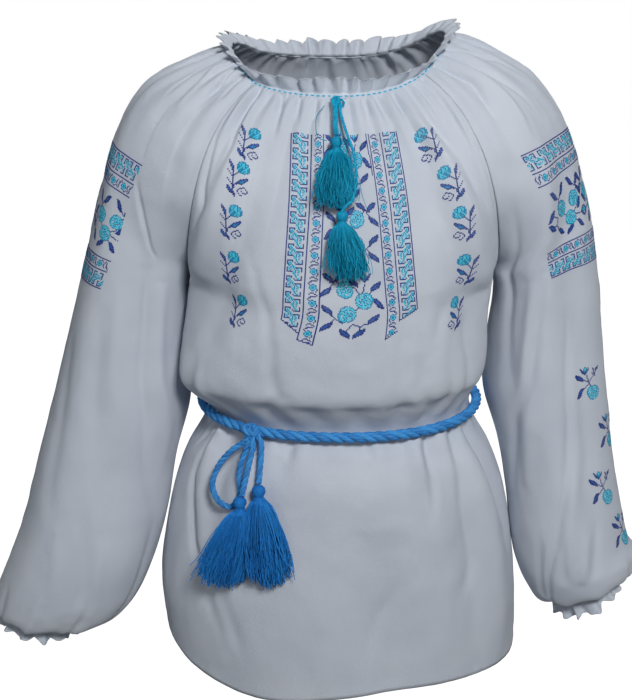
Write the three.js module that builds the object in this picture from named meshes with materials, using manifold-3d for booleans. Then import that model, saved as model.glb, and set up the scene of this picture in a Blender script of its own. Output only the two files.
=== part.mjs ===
// A gathered folk blouse in the shape it has when worn: hollow, and open at the neck, hem and cuffs.
// Front, back and two full sleeves run into one gathered neck edge with a frill. A drawstring with two
// tassels hangs at the centre front, and a rope belt with two tassels is tied over the right hip.
// Millimetres, +Z up, the front towards -Y, and the wearer's left towards +X. The origin is the middle
// of the neck opening, on the wearer's shoulder line.
import * as THREE from "three";
import { mergeVertices } from "three/addons/utils/BufferGeometryUtils.js";
import Module from "manifold-3d";

const wasm = await Module();
wasm.setup();

// Driving sizes.
const clothWall = 1.2; // cloth thickness
const seamGap = 0.36; // between two cut pieces along their seam
const neckRoll = THREE.MathUtils.degToRad(3.2); // the neck edge sits higher on the wearer's left
const neckRollEnds = 4; // the yoke step where that roll has died away
const casing = 5; // flat casing under a frill
const neckFrill = { height: 15, lean: 0.25, sideLean: 0.8, waves: 44, swing: 3.4 };
const cuffFrill = { height: 18, lean: 0.35, sideLean: 0, waves: 14, swing: 3.4 };
const frillWall = 1;
const ropeDiameter = 11; // belt rope
const endDiameter = 6.5; // the rope's free ends and its bow
const drawstringDiameter = 4;
const ropeLift = 2.8; // between the cloth and the rope that ties it in
const cordSides = 8;

const degree = THREE.MathUtils.DEG2RAD;
const vector = (x, y, z) => new THREE.Vector3(x, y, z);
const clamp01 = (v) => Math.min(1, Math.max(0, v));
const smooth = (v) => clamp01(v) ** 2 * (3 - 2 * clamp01(v));
const vary = (i) => Math.abs((Math.sin(i * 12.9898 + 4.1) * 43758.5453) % 1); // 0 to 1, its own for each i

// Every column of a table of sections, read between its rows by a cubic through them.
function between(table, at) {
  const last = table.length - 1;
  const i = Math.min(last - 1, Math.max(0, Math.floor(at)));
  const u = at - i;
  const row = (k) => table[Math.min(last, Math.max(0, k))];
  const read = {};
  for (const column of Object.keys(table[0])) {
    const [a, b, c, d] = [row(i - 1), row(i), row(i + 1), row(i + 2)].map((r) => r[column]);
    const [m, n] = [(c - a) / 2, (d - b) / 2];
    read[column] =
      b + u * (m + u * (3 * (c - b) - 2 * m - n + u * (2 * (b - c) + m + n)));
  }
  return read;
}

// Rows from named columns: one object for each row of numbers.
const rows = (columns, ...numbers) =>
  numbers.map((line) => Object.fromEntries(columns.map((name, k) => [name, line[k]])));

// The yoke: eight rings from the neck edge to the underarm, where each sleeve becomes a tube. The top
// is the sleeve's highest line, inner the middle of the two raglan seams, and open the angle that the
// sleeve's arc takes up on each side of its top line.
const sleeveColumns = ["topX", "topZ", "innerX", "innerZ", "middleY", "depth", "rise", "open"];
const yokeSleeve = rows(
  sleeveColumns,
  [109, -5, 82, -26, -2, 74, 19, 40],
  [134, -12, 98, -37, -2, 87, 20, 47],
  [162, -24, 116, -58, -3, 97, 19, 56],
  [191, -40, 132, -88, -4, 98, 19, 68],
  [214, -66, 144, -127, -4, 88, 17, 88],
  [231, -99, 152, -170, -4, 76, 14, 118],
  [243, -136, 157, -208, -4, 68, 11, 148],
  [254, -174, 157, -234, -4, 65, 6, 180],
);
const underarm = yokeSleeve.length - 1;

// Each sleeve below the underarm, down to the elastic at the wrist. The cloth blouses over the elastic.
const sleeveTable = {
  left: [
    ...yokeSleeve,
    ...rows(
      sleeveColumns,
      [262, -212, 160, -262, -2, 67, 3, 180],
      [273, -282, 155, -316, 2, 69, 0, 180],
      [282, -354, 154, -368, 2, 71, 0, 180],
      [289, -420, 171, -424, -2, 73, 0, 180],
      [300, -478, 182, -480, -8, 74, 0, 180],
      [312, -528, 189, -536, -14, 74, 0, 180],
      [325, -548, 200, -576, -18, 70, 0, 180],
      [320, -564, 218, -603, -21, 58, 0, 180],
      [292, -564, 236, -598, -22, 37, 0, 180],
    ),
  ],
  right: [
    ...yokeSleeve,
    ...rows(
      sleeveColumns,
      [264, -212, 161, -262, -2, 67, 3, 180],
      [284, -284, 164, -318, 2, 70, 0, 180],
      [306, -362, 163, -380, 2, 73, 0, 180],
      [329, -440, 180, -444, -2, 76, 0, 180],
      [346, -502, 191, -506, -8, 78, 0, 180],
      [364, -550, 207, -560, -14, 78, 0, 180],
      [382, -594, 230, -608, -18, 73, 0, 180],
      [385, -614, 262, -632, -21, 60, 0, 180],
      [370, -607, 296, -619, -22, 38, 0, 180],
    ),
  ],
};

// The front and back, from the neck to the hem: the middle of each, the side seam under the arm, and
// how far each wraps round. The front blouses wider than its seam over the belt, at beltRow.
const bodyTable = rows(
  ["frontY", "frontZ", "backY", "backZ", "sideX", "sideZ", "shiftX", "frontOpen", "backOpen"],
  [-70, -54, 68, -26, 82, -26, 0, 50, 50],
  [-84, -69, 80, -38, 98, -37, 0, 54, 54],
  [-100, -95, 92, -60, 116, -58, 0, 59, 58],
  [-115, -127, 101, -92, 132, -88, 0, 65, 64],
  [-127, -162, 108, -132, 144, -127, 0, 72, 71],
  [-136, -197, 112, -172, 152, -170, 0, 80, 80],
  [-141, -227, 113, -208, 157, -208, 0, 86, 86],
  [-143, -252, 112, -240, 157, -234, 0, 89, 89],
  [-144, -280, 110, -268, 153, -264, -5, 97, 90],
  [-143, -310, 108, -302, 149, -298, -9, 107, 90],
  [-140, -338, 106, -334, 147, -330, -11, 110, 90],
  [-126, -354, 102, -350, 143, -349, -8, 103, 90],
  [-108, -382, 88, -373, 139, -375, -2, 90, 90],
  [-119, -406, 99, -396, 146, -399, -2, 90, 90],
  [-130, -436, 109, -428, 164, -430, -2, 90, 90],
  [-134, -476, 117, -470, 179, -470, -2, 90, 90],
  [-137, -528, 123, -524, 190, -522, -2, 90, 90],
  [-140, -592, 128, -590, 198, -586, -2, 90, 90],
  [-141, -664, 130, -650, 197, -645, 1, 90, 90],
);
const beltRow = 12;
const hemRow = bodyTable.length - 1;

// The neck edge rolls towards the wearer's right, and all below it leans a little to their left.
const leanX = 5;
function posed(p, step) {
  const low = smooth(step / neckRollEnds);
  p.z += p.x * Math.tan(neckRoll) * (1 - low);
  p.x += leanX * low;
  return p;
}

// A point of a sleeve: across runs from its front seam, -1, over the top line to its back seam, 1.
function sleevePoint(side, across, step) {
  const ring = between(sleeveTable[side], step);
  const open = Math.min(180, ring.open) * degree;
  const turn = across * open;
  const toTop = (Math.cos(turn) - Math.cos(open)) / (1 - Math.cos(open));
  const point = vector(
    (side === "left" ? 1 : -1) * (ring.innerX + (ring.topX - ring.innerX) * toTop),
    ring.middleY + ring.depth * Math.sin(turn),
    ring.innerZ + (ring.topZ - ring.innerZ) * toTop + ring.rise * Math.sin(turn),
  );
  return posed(point, step);
}

// The edge of the front or back: the raglan seam it shares with a sleeve, then the side seam.
function edgePoint(side, face, step) {
  if (step <= underarm) return sleevePoint(side, face === "front" ? -1 : 1, step);
  const ring = between(bodyTable, step);
  const point = vector((side === "left" ? 1 : -1) * ring.sideX + ring.shiftX, -4, ring.sideZ);
  return posed(point, step);
}

// A point of the front or back: across runs from the right edge, -1, to the left one, 1.
function bodyPoint(face, across, step) {
  const ring = between(bodyTable, step);
  const front = face === "front";
  const open = (front ? ring.frontOpen : ring.backOpen) * degree;
  const turn = Math.abs(across) * open;
  const middle = posed(
    front ? vector(ring.shiftX, ring.frontY, ring.frontZ) : vector(ring.shiftX, ring.backY, ring.backZ),
    step,
  );
  const edge = edgePoint(across < 0 ? "right" : "left", face, step);
  const toSide = ((1 - Math.cos(turn)) / (1 - Math.cos(open))) ** 1.12;
  const point = middle.clone().lerp(edge, toSide);
  point.x = middle.x + ((edge.x - middle.x) * Math.sin(turn)) / Math.sin(open);
  point.z += hemSway(across) * smooth((step - hemRow + 3) / 3);
  return point;
}
// The hem hangs lower at the wearer's left, in slow waves.
const hemSway = (across) => -5 * across + 7 * Math.cos(across * 5 + 4.64);

// Gathers fan out from the neck edge, each with its own length and depth.
const gathers = { front: 13, back: 10, left: 9, right: 9 };
const gatherDepth = 2.6;
function gatherHeight(name, across, step) {
  const count = gathers[name];
  const place = ((across + 1) / 2) * count;
  const own = Math.min(count - 1, Math.floor(place));
  const reach = 2.2 + 3.6 * vary(own + count);
  const rise = smooth(step / 0.6);
  const fade = 1 - smooth((step - 0.8) / reach);
  const depth = gatherDepth * (0.6 + 0.6 * vary(own));
  return depth * rise * fade * Math.cos((place - own - 0.5) * 2 * Math.PI);
}

// The long folds: a ridge, or a trough where height is negative, at a place across the piece that
// drifts from its first step down to its last one.
const foldColumns = ["place", "drift", "first", "last", "width", "height"];
const folds = {
  front: rows(
    foldColumns,
    [-0.72, -0.1, 1, 9, 0.09, 5],
    [-0.5, -0.06, 2, 10, 0.07, -4],
    [0.6, 0.16, 1, 10, 0.09, 6],
    [0.46, 0.12, 2, 9, 0.07, -4],
    [-0.66, -0.06, 9, 15, 0.06, 5],
    [-0.52, -0.05, 12.3, 16, 0.06, -5],
    [-0.4, -0.02, 12.3, 17, 0.06, 5],
    [0.34, 0.02, 12.3, 16, 0.05, 4],
    [0.48, 0.04, 12.3, 18, 0.06, -6],
    [0.62, 0.06, 12.3, 18, 0.07, 7],
    [0.78, 0.05, 12.3, 17, 0.06, -5],
    [0.12, 0.08, 15, 19, 0.12, -6],
    [-0.25, 0, 14.5, 19, 0.14, 5],
  ),
  back: rows(
    foldColumns,
    [-0.62, -0.1, 1, 10, 0.1, 5],
    [0.55, 0.1, 1, 10, 0.1, 5],
    [-0.3, -0.03, 3, 11, 0.09, -4],
    [0.25, 0.03, 3, 11, 0.09, -4],
    [-0.55, -0.05, 12.3, 19, 0.09, 6],
    [-0.28, 0, 12.3, 18, 0.08, -5],
    [-0.02, 0, 12.3, 19, 0.09, 6],
    [0.27, 0.02, 12.3, 18, 0.08, -6],
    [0.52, 0.05, 12.3, 19, 0.09, 6],
  ),
  left: rows(
    foldColumns,
    [-0.62, 0.06, 1, 12, 0.1, 6],
    [-0.4, 0.02, 4, 15, 0.1, -5],
    [-0.15, 0.06, 8, 16, 0.1, 4],
    [0.35, -0.04, 2, 15, 0.12, 5],
    [0.6, 0, 6, 16, 0.1, -5],
  ),
  right: rows(
    foldColumns,
    [-0.6, 0.04, 1, 12, 0.1, 6],
    [-0.42, 0.04, 5, 15, 0.1, -5],
    [-0.2, 0.02, 7, 16, 0.1, 4],
    [0.3, 0, 2, 15, 0.12, 5],
    [0.58, 0, 6, 16, 0.1, -5],
  ),
};
function foldHeight(name, across, step) {
  let height = 0;
  for (const fold of folds[name]) {
    const down = (step - fold.first) / (fold.last - fold.first);
    if (down <= 0 || down >= 1) continue;
    const off = (across - fold.place - fold.drift * down) / fold.width;
    height += fold.height * Math.sin(Math.PI * down) ** 0.7 * Math.exp(-off * off);
  }
  return height;
}
// Folds die away at the seams, the belt and the elastic.
function ripple(name, across, step, lastStep) {
  const seam = smooth((1 - Math.abs(across)) / 0.08);
  const isBody = name === "front" || name === "back";
  const pinch = isBody
    ? smooth(Math.abs(step - beltRow) / 1.2)
    : smooth((lastStep - step) / 1.5);
  return seam * (gatherHeight(name, across, step) + pinch * foldHeight(name, across, step));
}

// The gathers at the wrist elastic and along the belt are short, even waves.
function pinchWaves(name, across, step, lastStep) {
  const isBody = name === "front" || name === "back";
  const near = isBody
    ? Math.exp(-(((Math.abs(step - beltRow) - 0.9) / 0.7) ** 2))
    : Math.exp(-(((lastStep - step - 0.8) / 0.6) ** 2));
  const seam = smooth((1 - Math.abs(across)) / 0.08);
  return 1.6 * near * Math.cos(across * Math.PI * (isBody ? 12 : 9)) * seam;
}

// A grid of points over a piece, [step][across], with its folds raised along the plain form's normal.
function clothGrid(name, steps, columnCount, pointAt) {
  const last = steps[steps.length - 1];
  const nudge = 0.01;
  return steps.map((step) =>
    Array.from({ length: columnCount + 1 }, (_, k) => {
      const across = -1 + (2 * k) / columnCount;
      const [a, b] = [Math.max(-1, across - nudge), Math.min(1, across + nudge)];
      const [c, d] = [Math.max(0, step - nudge), Math.min(last, step + nudge)];
      const along = pointAt(b, step).sub(pointAt(a, step));
      const down = pointAt(across, d).sub(pointAt(across, c));
      const normal = down.cross(along).normalize();
      const height = ripple(name, across, step, last) + pinchWaves(name, across, step, last);
      return pointAt(across, step).addScaledVector(normal, height);
    }),
  );
}

// An open sheet as merged points and triangles. Columns that meet, such as a sleeve's underarm seam,
// become one.
function sheetOf(grid) {
  const [tall, wide] = [grid.length, grid[0].length];
  const geometry = new THREE.BufferGeometry().setFromPoints(grid.flat());
  const faces = [];
  for (let i = 0; i + 1 < tall; i++)
    for (let k = 0; k + 1 < wide; k++) {
      const [a, b] = [i * wide + k, (i + 1) * wide + k];
      faces.push(a, b, b + 1, a, b + 1, a + 1);
    }
  geometry.setIndex(faces);
  const merged = mergeVertices(geometry, 1e-3);
  const place = merged.getAttribute("position");
  const pointOf = (k) => vector(0, 0, 0).fromBufferAttribute(place, k);
  const points = Array.from({ length: place.count }, (_, k) => pointOf(k));
  const index = Array.from(merged.index.array);
  const triangles = [];
  for (let k = 0; k < index.length; k += 3) {
    const [a, b, c] = index.slice(k, k + 3);
    if (a !== b && b !== c && c !== a) triangles.push([a, b, c]);
  }
  return { points, triangles };
}
const keyOf = (p) => [p.x, p.y, p.z].map((v) => Math.round(v * 100)).join();

// Normals shared by all the sheets, so that two pieces lean the same way where they meet.
function sharedNormals(sheets) {
  const sums = new Map();
  for (const { points, triangles } of sheets)
    for (const [a, b, c] of triangles) {
      const face = points[b].clone().sub(points[a]).cross(points[c].clone().sub(points[a]));
      for (const k of [a, b, c]) {
        const key = keyOf(points[k]);
        sums.set(key, (sums.get(key) ?? vector(0, 0, 0)).add(face));
      }
    }
  return sheets.map(({ points }) => points.map((p) => sums.get(keyOf(p)).clone().normalize()));
}

// A wall of cloth inside an open sheet, closed round every edge. Edges on a seam first draw back by
// half the gap.
function wallOf({ points, triangles }, normals, thickness, drawBack) {
  const edges = new Map();
  for (const triangle of triangles)
    triangle.forEach((a, k) => edges.set(`${a},${triangle[(k + 1) % 3]}`, [a, triangle[(k + 1) % 3]]));
  const rim = [...edges.values()].filter(([a, b]) => !edges.has(`${b},${a}`));
  const outer = points.map((p) => p.clone());
  const inward = new Map();
  for (const [a, b] of rim) {
    const along = points[b].clone().sub(points[a]);
    for (const k of [a, b]) {
      const into = normals[k].clone().cross(along).normalize();
      inward.set(k, (inward.get(k) ?? vector(0, 0, 0)).add(into));
    }
  }
  for (const [k, into] of inward) outer[k].addScaledVector(into.normalize(), drawBack);
  const inner = outer.map((p, k) => p.clone().addScaledVector(normals[k], -thickness));
  const shift = outer.length;
  const faces = [...triangles];
  for (const [a, b, c] of triangles) faces.push([a + shift, c + shift, b + shift]);
  for (const [a, b] of rim) faces.push([b, a, a + shift], [b, a + shift, b + shift]);
  return geometryOf([...outer, ...inner], faces);
}
function geometryOf(points, faces) {
  return new THREE.BufferGeometry().setFromPoints(points).setIndex(faces.flat());
}

// Steps down each piece, closer at the neck, the belt and the wrist. The yoke's are shared by all four.
const yokeSteps = [0, 0.5, 1.1, 1.8, 2.6, 3.5, 4.5, 5.5, 6.3, 7];
const bodySteps = [...yokeSteps, 8, 9, 10, 10.8, 11.4, 12, 12.6, 13.2, 14, 15, 16, 17, 18];
const sleeveSteps = [...yokeSteps, 8, 9, 10, 11, 12, 13, 14, 14.6, 15.2, 15.6, 16];
const columns = { front: 30, back: 22, sleeve: 21 };

const fabric = (color, roughness) =>
  new THREE.MeshStandardMaterial({ color, roughness, metalness: 0, side: THREE.FrontSide });
const crepe = fabric(0xc3cad3, 0.85);
const blueRope = fabric(0x2a78c4, 0.8);
const turquoiseThread = fabric(0x1394b8, 0.6);

const blouse = new THREE.Group();
blouse.name = "blouse";
function add(name, geometry, material) {
  const mesh = new THREE.Mesh(geometry, material);
  mesh.name = name;
  blouse.add(mesh);
}

function addPanels() {
  const grids = {
    front: clothGrid("front", bodySteps, columns.front, (a, s) => bodyPoint("front", a, s)),
    back: clothGrid("back", bodySteps, columns.back, (a, s) => bodyPoint("back", -a, s)),
    sleeve_left: clothGrid("left", sleeveSteps, columns.sleeve, (a, s) => sleevePoint("left", a, s)),
    sleeve_right: clothGrid("right", sleeveSteps, columns.sleeve, (a, s) => sleevePoint("right", -a, s)),
  };
  const names = Object.keys(grids);
  const sheets = names.map((name) => sheetOf(grids[name]));
  const normals = sharedNormals(sheets);
  names.forEach((name, k) => add(name, wallOf(sheets[k], normals[k], clothWall, seamGap / 2), crepe));
}
addPanels();

// A frill round an edge: a flat casing that goes on from the cloth, then a ruffle. The edge is given as
// points with the way on past the cloth's edge, on, and the way the ruffle stands, rise, which then
// leans away from the middle.
function frillGrid(edge, { height, lean, sideLean, waves, swing }) {
  const perWave = 4;
  const count = waves * perWave;
  const curve = new THREE.CatmullRomCurve3(edge.map((e) => e.point), true);
  curve.arcLengthDivisions = 800;
  const middle = edge.reduce((sum, e) => sum.add(e.point), vector(0, 0, 0)).divideScalar(edge.length);
  const [foot, head, top] = [[], [], []];
  for (let k = 0; k < count; k++) {
    const at = (curve.getUtoTmapping(k / count) * edge.length) % edge.length;
    const [here, next] = [edge[Math.floor(at)], edge[(Math.floor(at) + 1) % edge.length]];
    const mixed = (way) => here[way].clone().lerp(next[way], at % 1).normalize();
    const [on, rise] = [mixed("on"), mixed("rise")];
    const start = curve.getPoint(at / edge.length).addScaledVector(on, seamGap * 1.4);
    const away = start.clone().sub(middle).projectOnPlane(rise).normalize();
    const side = sideLean * away.x * away.x;
    const own = 0.75 + 0.5 * vary(Math.floor(k / perWave) + 7);
    const wave = Math.sin((k * 2 * Math.PI) / perWave) * swing * own;
    const up = rise.clone().addScaledVector(away, lean + side).normalize();
    const band = start.clone().addScaledVector(on, casing);
    foot.push(start);
    head.push(band.clone().addScaledVector(away, wave * 0.25));
    top.push(band.addScaledVector(up, height * (1 + 0.1 * Math.sin(k * 1.7))).addScaledVector(away, wave));
  }
  return [foot, head, top].map((level) => [...level, level[0]]);
}

// The neck edge, round from the front by the left shoulder, as points with their directions.
function neckEdge() {
  const runs = [
    { count: 14, at: (a, s) => bodyPoint("front", a, s) },
    { count: 9, at: (a, s) => sleevePoint("left", a, s) },
    { count: 12, at: (a, s) => bodyPoint("back", -a, s) },
    { count: 9, at: (a, s) => sleevePoint("right", -a, s) },
  ];
  return runs.flatMap(({ count, at }) =>
    Array.from({ length: count }, (_, k) => {
      const across = -1 + (2 * (k + 0.5)) / count;
      const on = at(across, 0).sub(at(across, 0.1)).normalize();
      return { point: at(across, 0), on, rise: vector(0, 0, 1) };
    }),
  );
}
// The wrist edge, with the ruffle going on along the arm.
function wristEdge(side) {
  const sign = side === "left" ? 1 : -1;
  const last = sleeveTable[side].length - 1;
  const at = (a) => sleevePoint(side, sign * a, last);
  const middle = at(0).add(at(1)).multiplyScalar(0.5);
  const on = vector(0, 1, 0).cross(at(0).sub(middle)).normalize();
  if (on.z > 0) on.negate();
  const count = 16;
  return Array.from({ length: count }, (_, k) => {
    const point = at(-1 + (2 * k) / count);
    return { point, on, rise: on };
  });
}
function addFrills() {
  const frills = {
    neck_frill: frillGrid(neckEdge(), neckFrill).reverse(), // its rows run down, as the cloth's do
    cuff_frill_left: frillGrid(wristEdge("left"), cuffFrill),
    cuff_frill_right: frillGrid(wristEdge("right"), cuffFrill),
  };
  for (const [name, grid] of Object.entries(frills)) {
    const sheet = sheetOf(grid);
    const [normals] = sharedNormals([sheet]);
    add(name, wallOf(sheet, normals, frillWall, 0), crepe);
  }
}
addFrills();

// Solids that are joined into one, such as a tassel's strands in its head.
function joined(geometries) {
  const solids = geometries.map((geometry) => {
    const bare = new THREE.BufferGeometry().setAttribute("position", geometry.getAttribute("position"));
    if (geometry.index) bare.setIndex(geometry.index);
    const merged = mergeVertices(bare, 1e-3);
    return new wasm.Manifold(
      new wasm.Mesh({
        numProp: 3,
        vertProperties: new Float32Array(merged.attributes.position.array),
        triVerts: new Uint32Array(merged.index.array),
      }),
    );
  });
  const mesh = wasm.Manifold.union(solids).getMesh();
  return new THREE.BufferGeometry()
    .setAttribute("position", new THREE.BufferAttribute(mesh.vertProperties, 3))
    .setIndex(new THREE.BufferAttribute(mesh.triVerts, 1));
}

// A round cord along a curve, with a step every two and a half diameters.
function cordAlong(curve, diameter) {
  const circle = Array.from({ length: cordSides }, (_, k) => {
    const turn = ((k + 0.5) * 2 * Math.PI) / cordSides;
    return new THREE.Vector2(Math.cos(turn), Math.sin(turn)).multiplyScalar(diameter / 2);
  });
  return new THREE.ExtrudeGeometry(new THREE.Shape(circle), {
    extrudePath: curve,
    steps: Math.max(5, Math.round(curve.getLength() / (2.5 * diameter))),
    bevelEnabled: false,
  });
}
const curveOf = (...points) => new THREE.CatmullRomCurve3(points.map((p) => vector(...p)));

// The belt lies in the groove that it draws into the body, from one side of the knot round to the other.
const knotAcross = -0.43; // where the knot sits across the front
const knotHalf = 0.073; // how much of the front it takes up on each side
function beltPoint(face, across) {
  const on = (a) => bodyPoint(face, a, beltRow);
  const nudge = 0.01;
  const along = on(Math.min(1, across + nudge)).sub(on(Math.max(-1, across - nudge)));
  const out = along.cross(vector(0, 0, -1)).normalize();
  if (face === "back") out.negate();
  return on(across).addScaledVector(out.negate(), ropeDiameter / 2 + ropeLift);
}
function addBelt() {
  const run = (face, from, to, count) =>
    Array.from({ length: count }, (_, k) => beltPoint(face, from + ((to - from) * k) / (count - 1)));
  const round = [
    ...run("front", knotAcross + knotHalf, 0.94, 12),
    ...run("back", 0.94, -0.94, 17),
    ...run("front", -0.94, knotAcross - knotHalf, 7),
  ];
  add("belt", cordAlong(new THREE.CatmullRomCurve3(round), ropeDiameter), blueRope);
}
addBelt();

// The knot: a core with two turns of rope round it.
function addKnot() {
  const turn = (tiltX, tiltY) =>
    new THREE.TorusGeometry(6.4, 4, 6, 11).rotateX(tiltX * degree).rotateY(tiltY * degree);
  const core = new THREE.SphereGeometry(8, 10, 7).scale(1, 0.85, 1.15);
  const knot = joined([core, turn(68, 20), turn(20, -35).translate(0.5, -1.5, -2.5)]);
  const at = beltPoint("front", knotAcross);
  add("belt_knot", knot.translate(at.x, at.y - 2.5, at.z - 2), blueRope);
}
addKnot();

// One thread bundle of a tassel: a three-sided strand through three points.
function strandOf(points, radius) {
  const places = [];
  points.forEach((p, i) => {
    for (let k = 0; k < 3; k++) {
      const turn = (k * 2 * Math.PI) / 3 + i * 0.4;
      places.push(p.clone().add(vector(Math.cos(turn), Math.sin(turn), 0).multiplyScalar(radius)));
    }
  });
  const faces = [[0, 1, 2]];
  for (let i = 0; i + 1 < points.length; i++)
    for (let k = 0; k < 3; k++) {
      const [a, b] = [3 * i + k, 3 * i + ((k + 1) % 3)];
      faces.push([a, a + 3, b], [b, a + 3, b + 3]);
    }
  const last = 3 * (points.length - 1);
  faces.push([last, last + 2, last + 1]);
  return geometryOf(places, faces);
}

// A tassel: strands whose roots are held in one wound head. Spread and depth are its half sizes at the foot.
function tasselOf({ head, foot, size, spread, depth, strands, strand }) {
  const profile = [
    [0, 1],
    [0.6, 0.85],
    [0.98, 0.35],
    [0.95, -0.3],
    [0.72, -0.75],
    [0.9, -1.2],
    [1.12, -1.75],
    [0, -1.75],
  ].map(([r, z]) => new THREE.Vector2(r * size, z * size));
  const bell = new THREE.LatheGeometry(profile.reverse(), 9).rotateX(90 * degree).translate(...head);
  const bundle = Array.from({ length: strands }, (_, k) => {
    const turn = k * 2.39996;
    const out = Math.sqrt((k + 0.5) / strands);
    const [x, y] = [Math.cos(turn) * out, Math.sin(turn) * out];
    const root = vector(head[0] + x * size * 0.82, head[1] + y * size * 0.82, head[2] - size * 1.4);
    const tip = vector(foot[0] + x * spread, foot[1] + y * depth, foot[2] + 5 * vary(k) + 4 * x * x);
    const bend = root.clone().lerp(tip, 0.45);
    bend.x += x * spread * 0.22;
    bend.y += y * depth * 0.2;
    return strandOf([root, bend, tip], strand);
  });
  return joined([bell, ...bundle]);
}
const beltThreads = { size: 6.6, depth: 8, strands: 21, strand: 1.5 };
const neckThreads = { strands: 15, strand: 1.2 };
const tassels = {
  belt_tassel_left: { head: [-79, -130, -434], foot: [-69, -144, -527], spread: 20, ...beltThreads },
  belt_tassel_right: { head: [-98, -131, -446], foot: [-116, -134, -534], spread: 22, ...beltThreads },
  neck_tassel_upper: {
    head: [-3, -111, -91],
    foot: [-4, -136, -146],
    size: 5.6,
    spread: 13,
    depth: 5,
    ...neckThreads,
  },
  neck_tassel_lower: {
    head: [2, -141, -155],
    foot: [9, -152, -210],
    size: 5.4,
    spread: 15,
    depth: 6,
    ...neckThreads,
  },
};
for (const [name, tassel] of Object.entries(tassels))
  add(name, tasselOf(tassel), name.startsWith("belt") ? blueRope : turquoiseThread);

// The free cords, each by the points that it hangs through: the bow's loop and the belt's two ends, and
// the drawstring's two ends.
const freeCords = {
  belt_bow: {
    diameter: endDiameter,
    points: [
      [-97, -104, -393], [-107, -106, -400], [-121, -105, -418], [-127, -107, -438], [-120, -114, -452],
      [-107, -120, -455], [-99, -119, -443], [-99, -113, -420], [-92, -107, -397],
    ],
  },
  belt_end_right: {
    diameter: endDiameter,
    points: [[-85, -111, -393], [-88, -118, -405], [-92, -126, -422], [-96, -131, -438.5]],
  },
  belt_end_left: {
    diameter: endDiameter,
    points: [[-77, -107, -391], [-77, -114, -402], [-78, -121, -415], [-79, -127, -426.5]],
  },
  drawstring_upper: {
    diameter: drawstringDiameter,
    points: [[-6, -78, -55], [-4, -89, -63], [-4, -100, -74], [-3, -109, -84.5]],
  },
  drawstring_lower: {
    diameter: drawstringDiameter * 0.7,
    points: [
      [0, -78, -55], [1, -92, -66], [6, -106, -82], [13, -118, -101], [15, -130, -124], [11, -140, -140],
      [3, -141, -148],
    ],
  },
};
for (const [name, { diameter, points }] of Object.entries(freeCords))
  add(name, cordAlong(curveOf(...points), diameter), name.startsWith("belt") ? blueRope : turquoiseThread);

export default blouse;
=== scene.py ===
# A gathered folk blouse as worn: crepe panels with folds and frills, cross-stitched by chart, a braided
# drawstring with tassels and a twisted rope belt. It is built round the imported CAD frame, in metres.
import math

import bpy
import numpy as np
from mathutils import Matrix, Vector


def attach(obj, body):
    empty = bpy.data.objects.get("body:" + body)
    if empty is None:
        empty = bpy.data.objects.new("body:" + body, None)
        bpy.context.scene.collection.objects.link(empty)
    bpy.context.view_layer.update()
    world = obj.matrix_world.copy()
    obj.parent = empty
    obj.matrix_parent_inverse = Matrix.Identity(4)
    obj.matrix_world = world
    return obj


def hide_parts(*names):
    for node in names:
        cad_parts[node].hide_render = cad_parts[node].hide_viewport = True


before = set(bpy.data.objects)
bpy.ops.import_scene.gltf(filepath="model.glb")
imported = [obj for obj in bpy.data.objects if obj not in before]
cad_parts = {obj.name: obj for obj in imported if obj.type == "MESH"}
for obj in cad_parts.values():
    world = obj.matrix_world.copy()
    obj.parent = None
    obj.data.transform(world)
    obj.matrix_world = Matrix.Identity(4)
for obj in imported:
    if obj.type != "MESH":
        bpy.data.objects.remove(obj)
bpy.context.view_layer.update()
mm = 0.001  # the tables and sizes below are in millimetres
scene = bpy.context.scene
print("frame loaded:", len(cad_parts), "nodes")


camera = {"x": -22, "y": -1250, "z": 60, "pitchDown": 17.2, "lens": 62.85}


def makeCamera():
    data = bpy.data.cameras.new("camera")
    data.lens = camera["lens"]
    data.clip_start = 0.05
    eye = bpy.data.objects.new("camera", data)
    eye.location = (camera["x"] * mm, camera["y"] * mm, camera["z"] * mm)
    eye.rotation_euler = (math.radians(90 - camera["pitchDown"]), 0, 0)
    scene.collection.objects.link(eye)
    scene.camera = eye


makeCamera()

# The yoke's rings and each sleeve's, one row each: topX, topZ, innerX, innerZ, middleY, depth, rise, open.
yokeSleeve = [
    (109, -5, 82, -26, -2, 74, 19, 40),
    (134, -12, 98, -37, -2, 87, 20, 47),
    (162, -24, 116, -58, -3, 97, 19, 56),
    (191, -40, 132, -88, -4, 98, 19, 68),
    (214, -66, 144, -127, -4, 88, 17, 88),
    (231, -99, 152, -170, -4, 76, 14, 118),
    (243, -136, 157, -208, -4, 68, 11, 148),
    (254, -174, 157, -234, -4, 65, 6, 180),
]
lowerSleeve = {
    "left": [
        (262, -212, 160, -262, -2, 67, 3, 180),
        (273, -282, 155, -316, 2, 69, 0, 180),
        (282, -354, 154, -368, 2, 71, 0, 180),
        (289, -420, 171, -424, -2, 73, 0, 180),
        (300, -478, 182, -480, -8, 74, 0, 180),
        (312, -528, 189, -536, -14, 74, 0, 180),
        (325, -548, 200, -576, -18, 70, 0, 180),
        (320, -564, 218, -603, -21, 58, 0, 180),
        (292, -564, 236, -598, -22, 37, 0, 180),
    ],
    "right": [
        (264, -212, 161, -262, -2, 67, 3, 180),
        (284, -284, 164, -318, 2, 70, 0, 180),
        (306, -362, 163, -380, 2, 73, 0, 180),
        (329, -440, 180, -444, -2, 76, 0, 180),
        (346, -502, 191, -506, -8, 78, 0, 180),
        (364, -550, 207, -560, -14, 78, 0, 180),
        (382, -594, 230, -608, -18, 73, 0, 180),
        (385, -614, 262, -632, -21, 60, 0, 180),
        (370, -607, 296, -619, -22, 38, 0, 180),
    ],
}
sleeveRings = {side: np.array(yokeSleeve + low, float) for side, low in lowerSleeve.items()}
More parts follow.
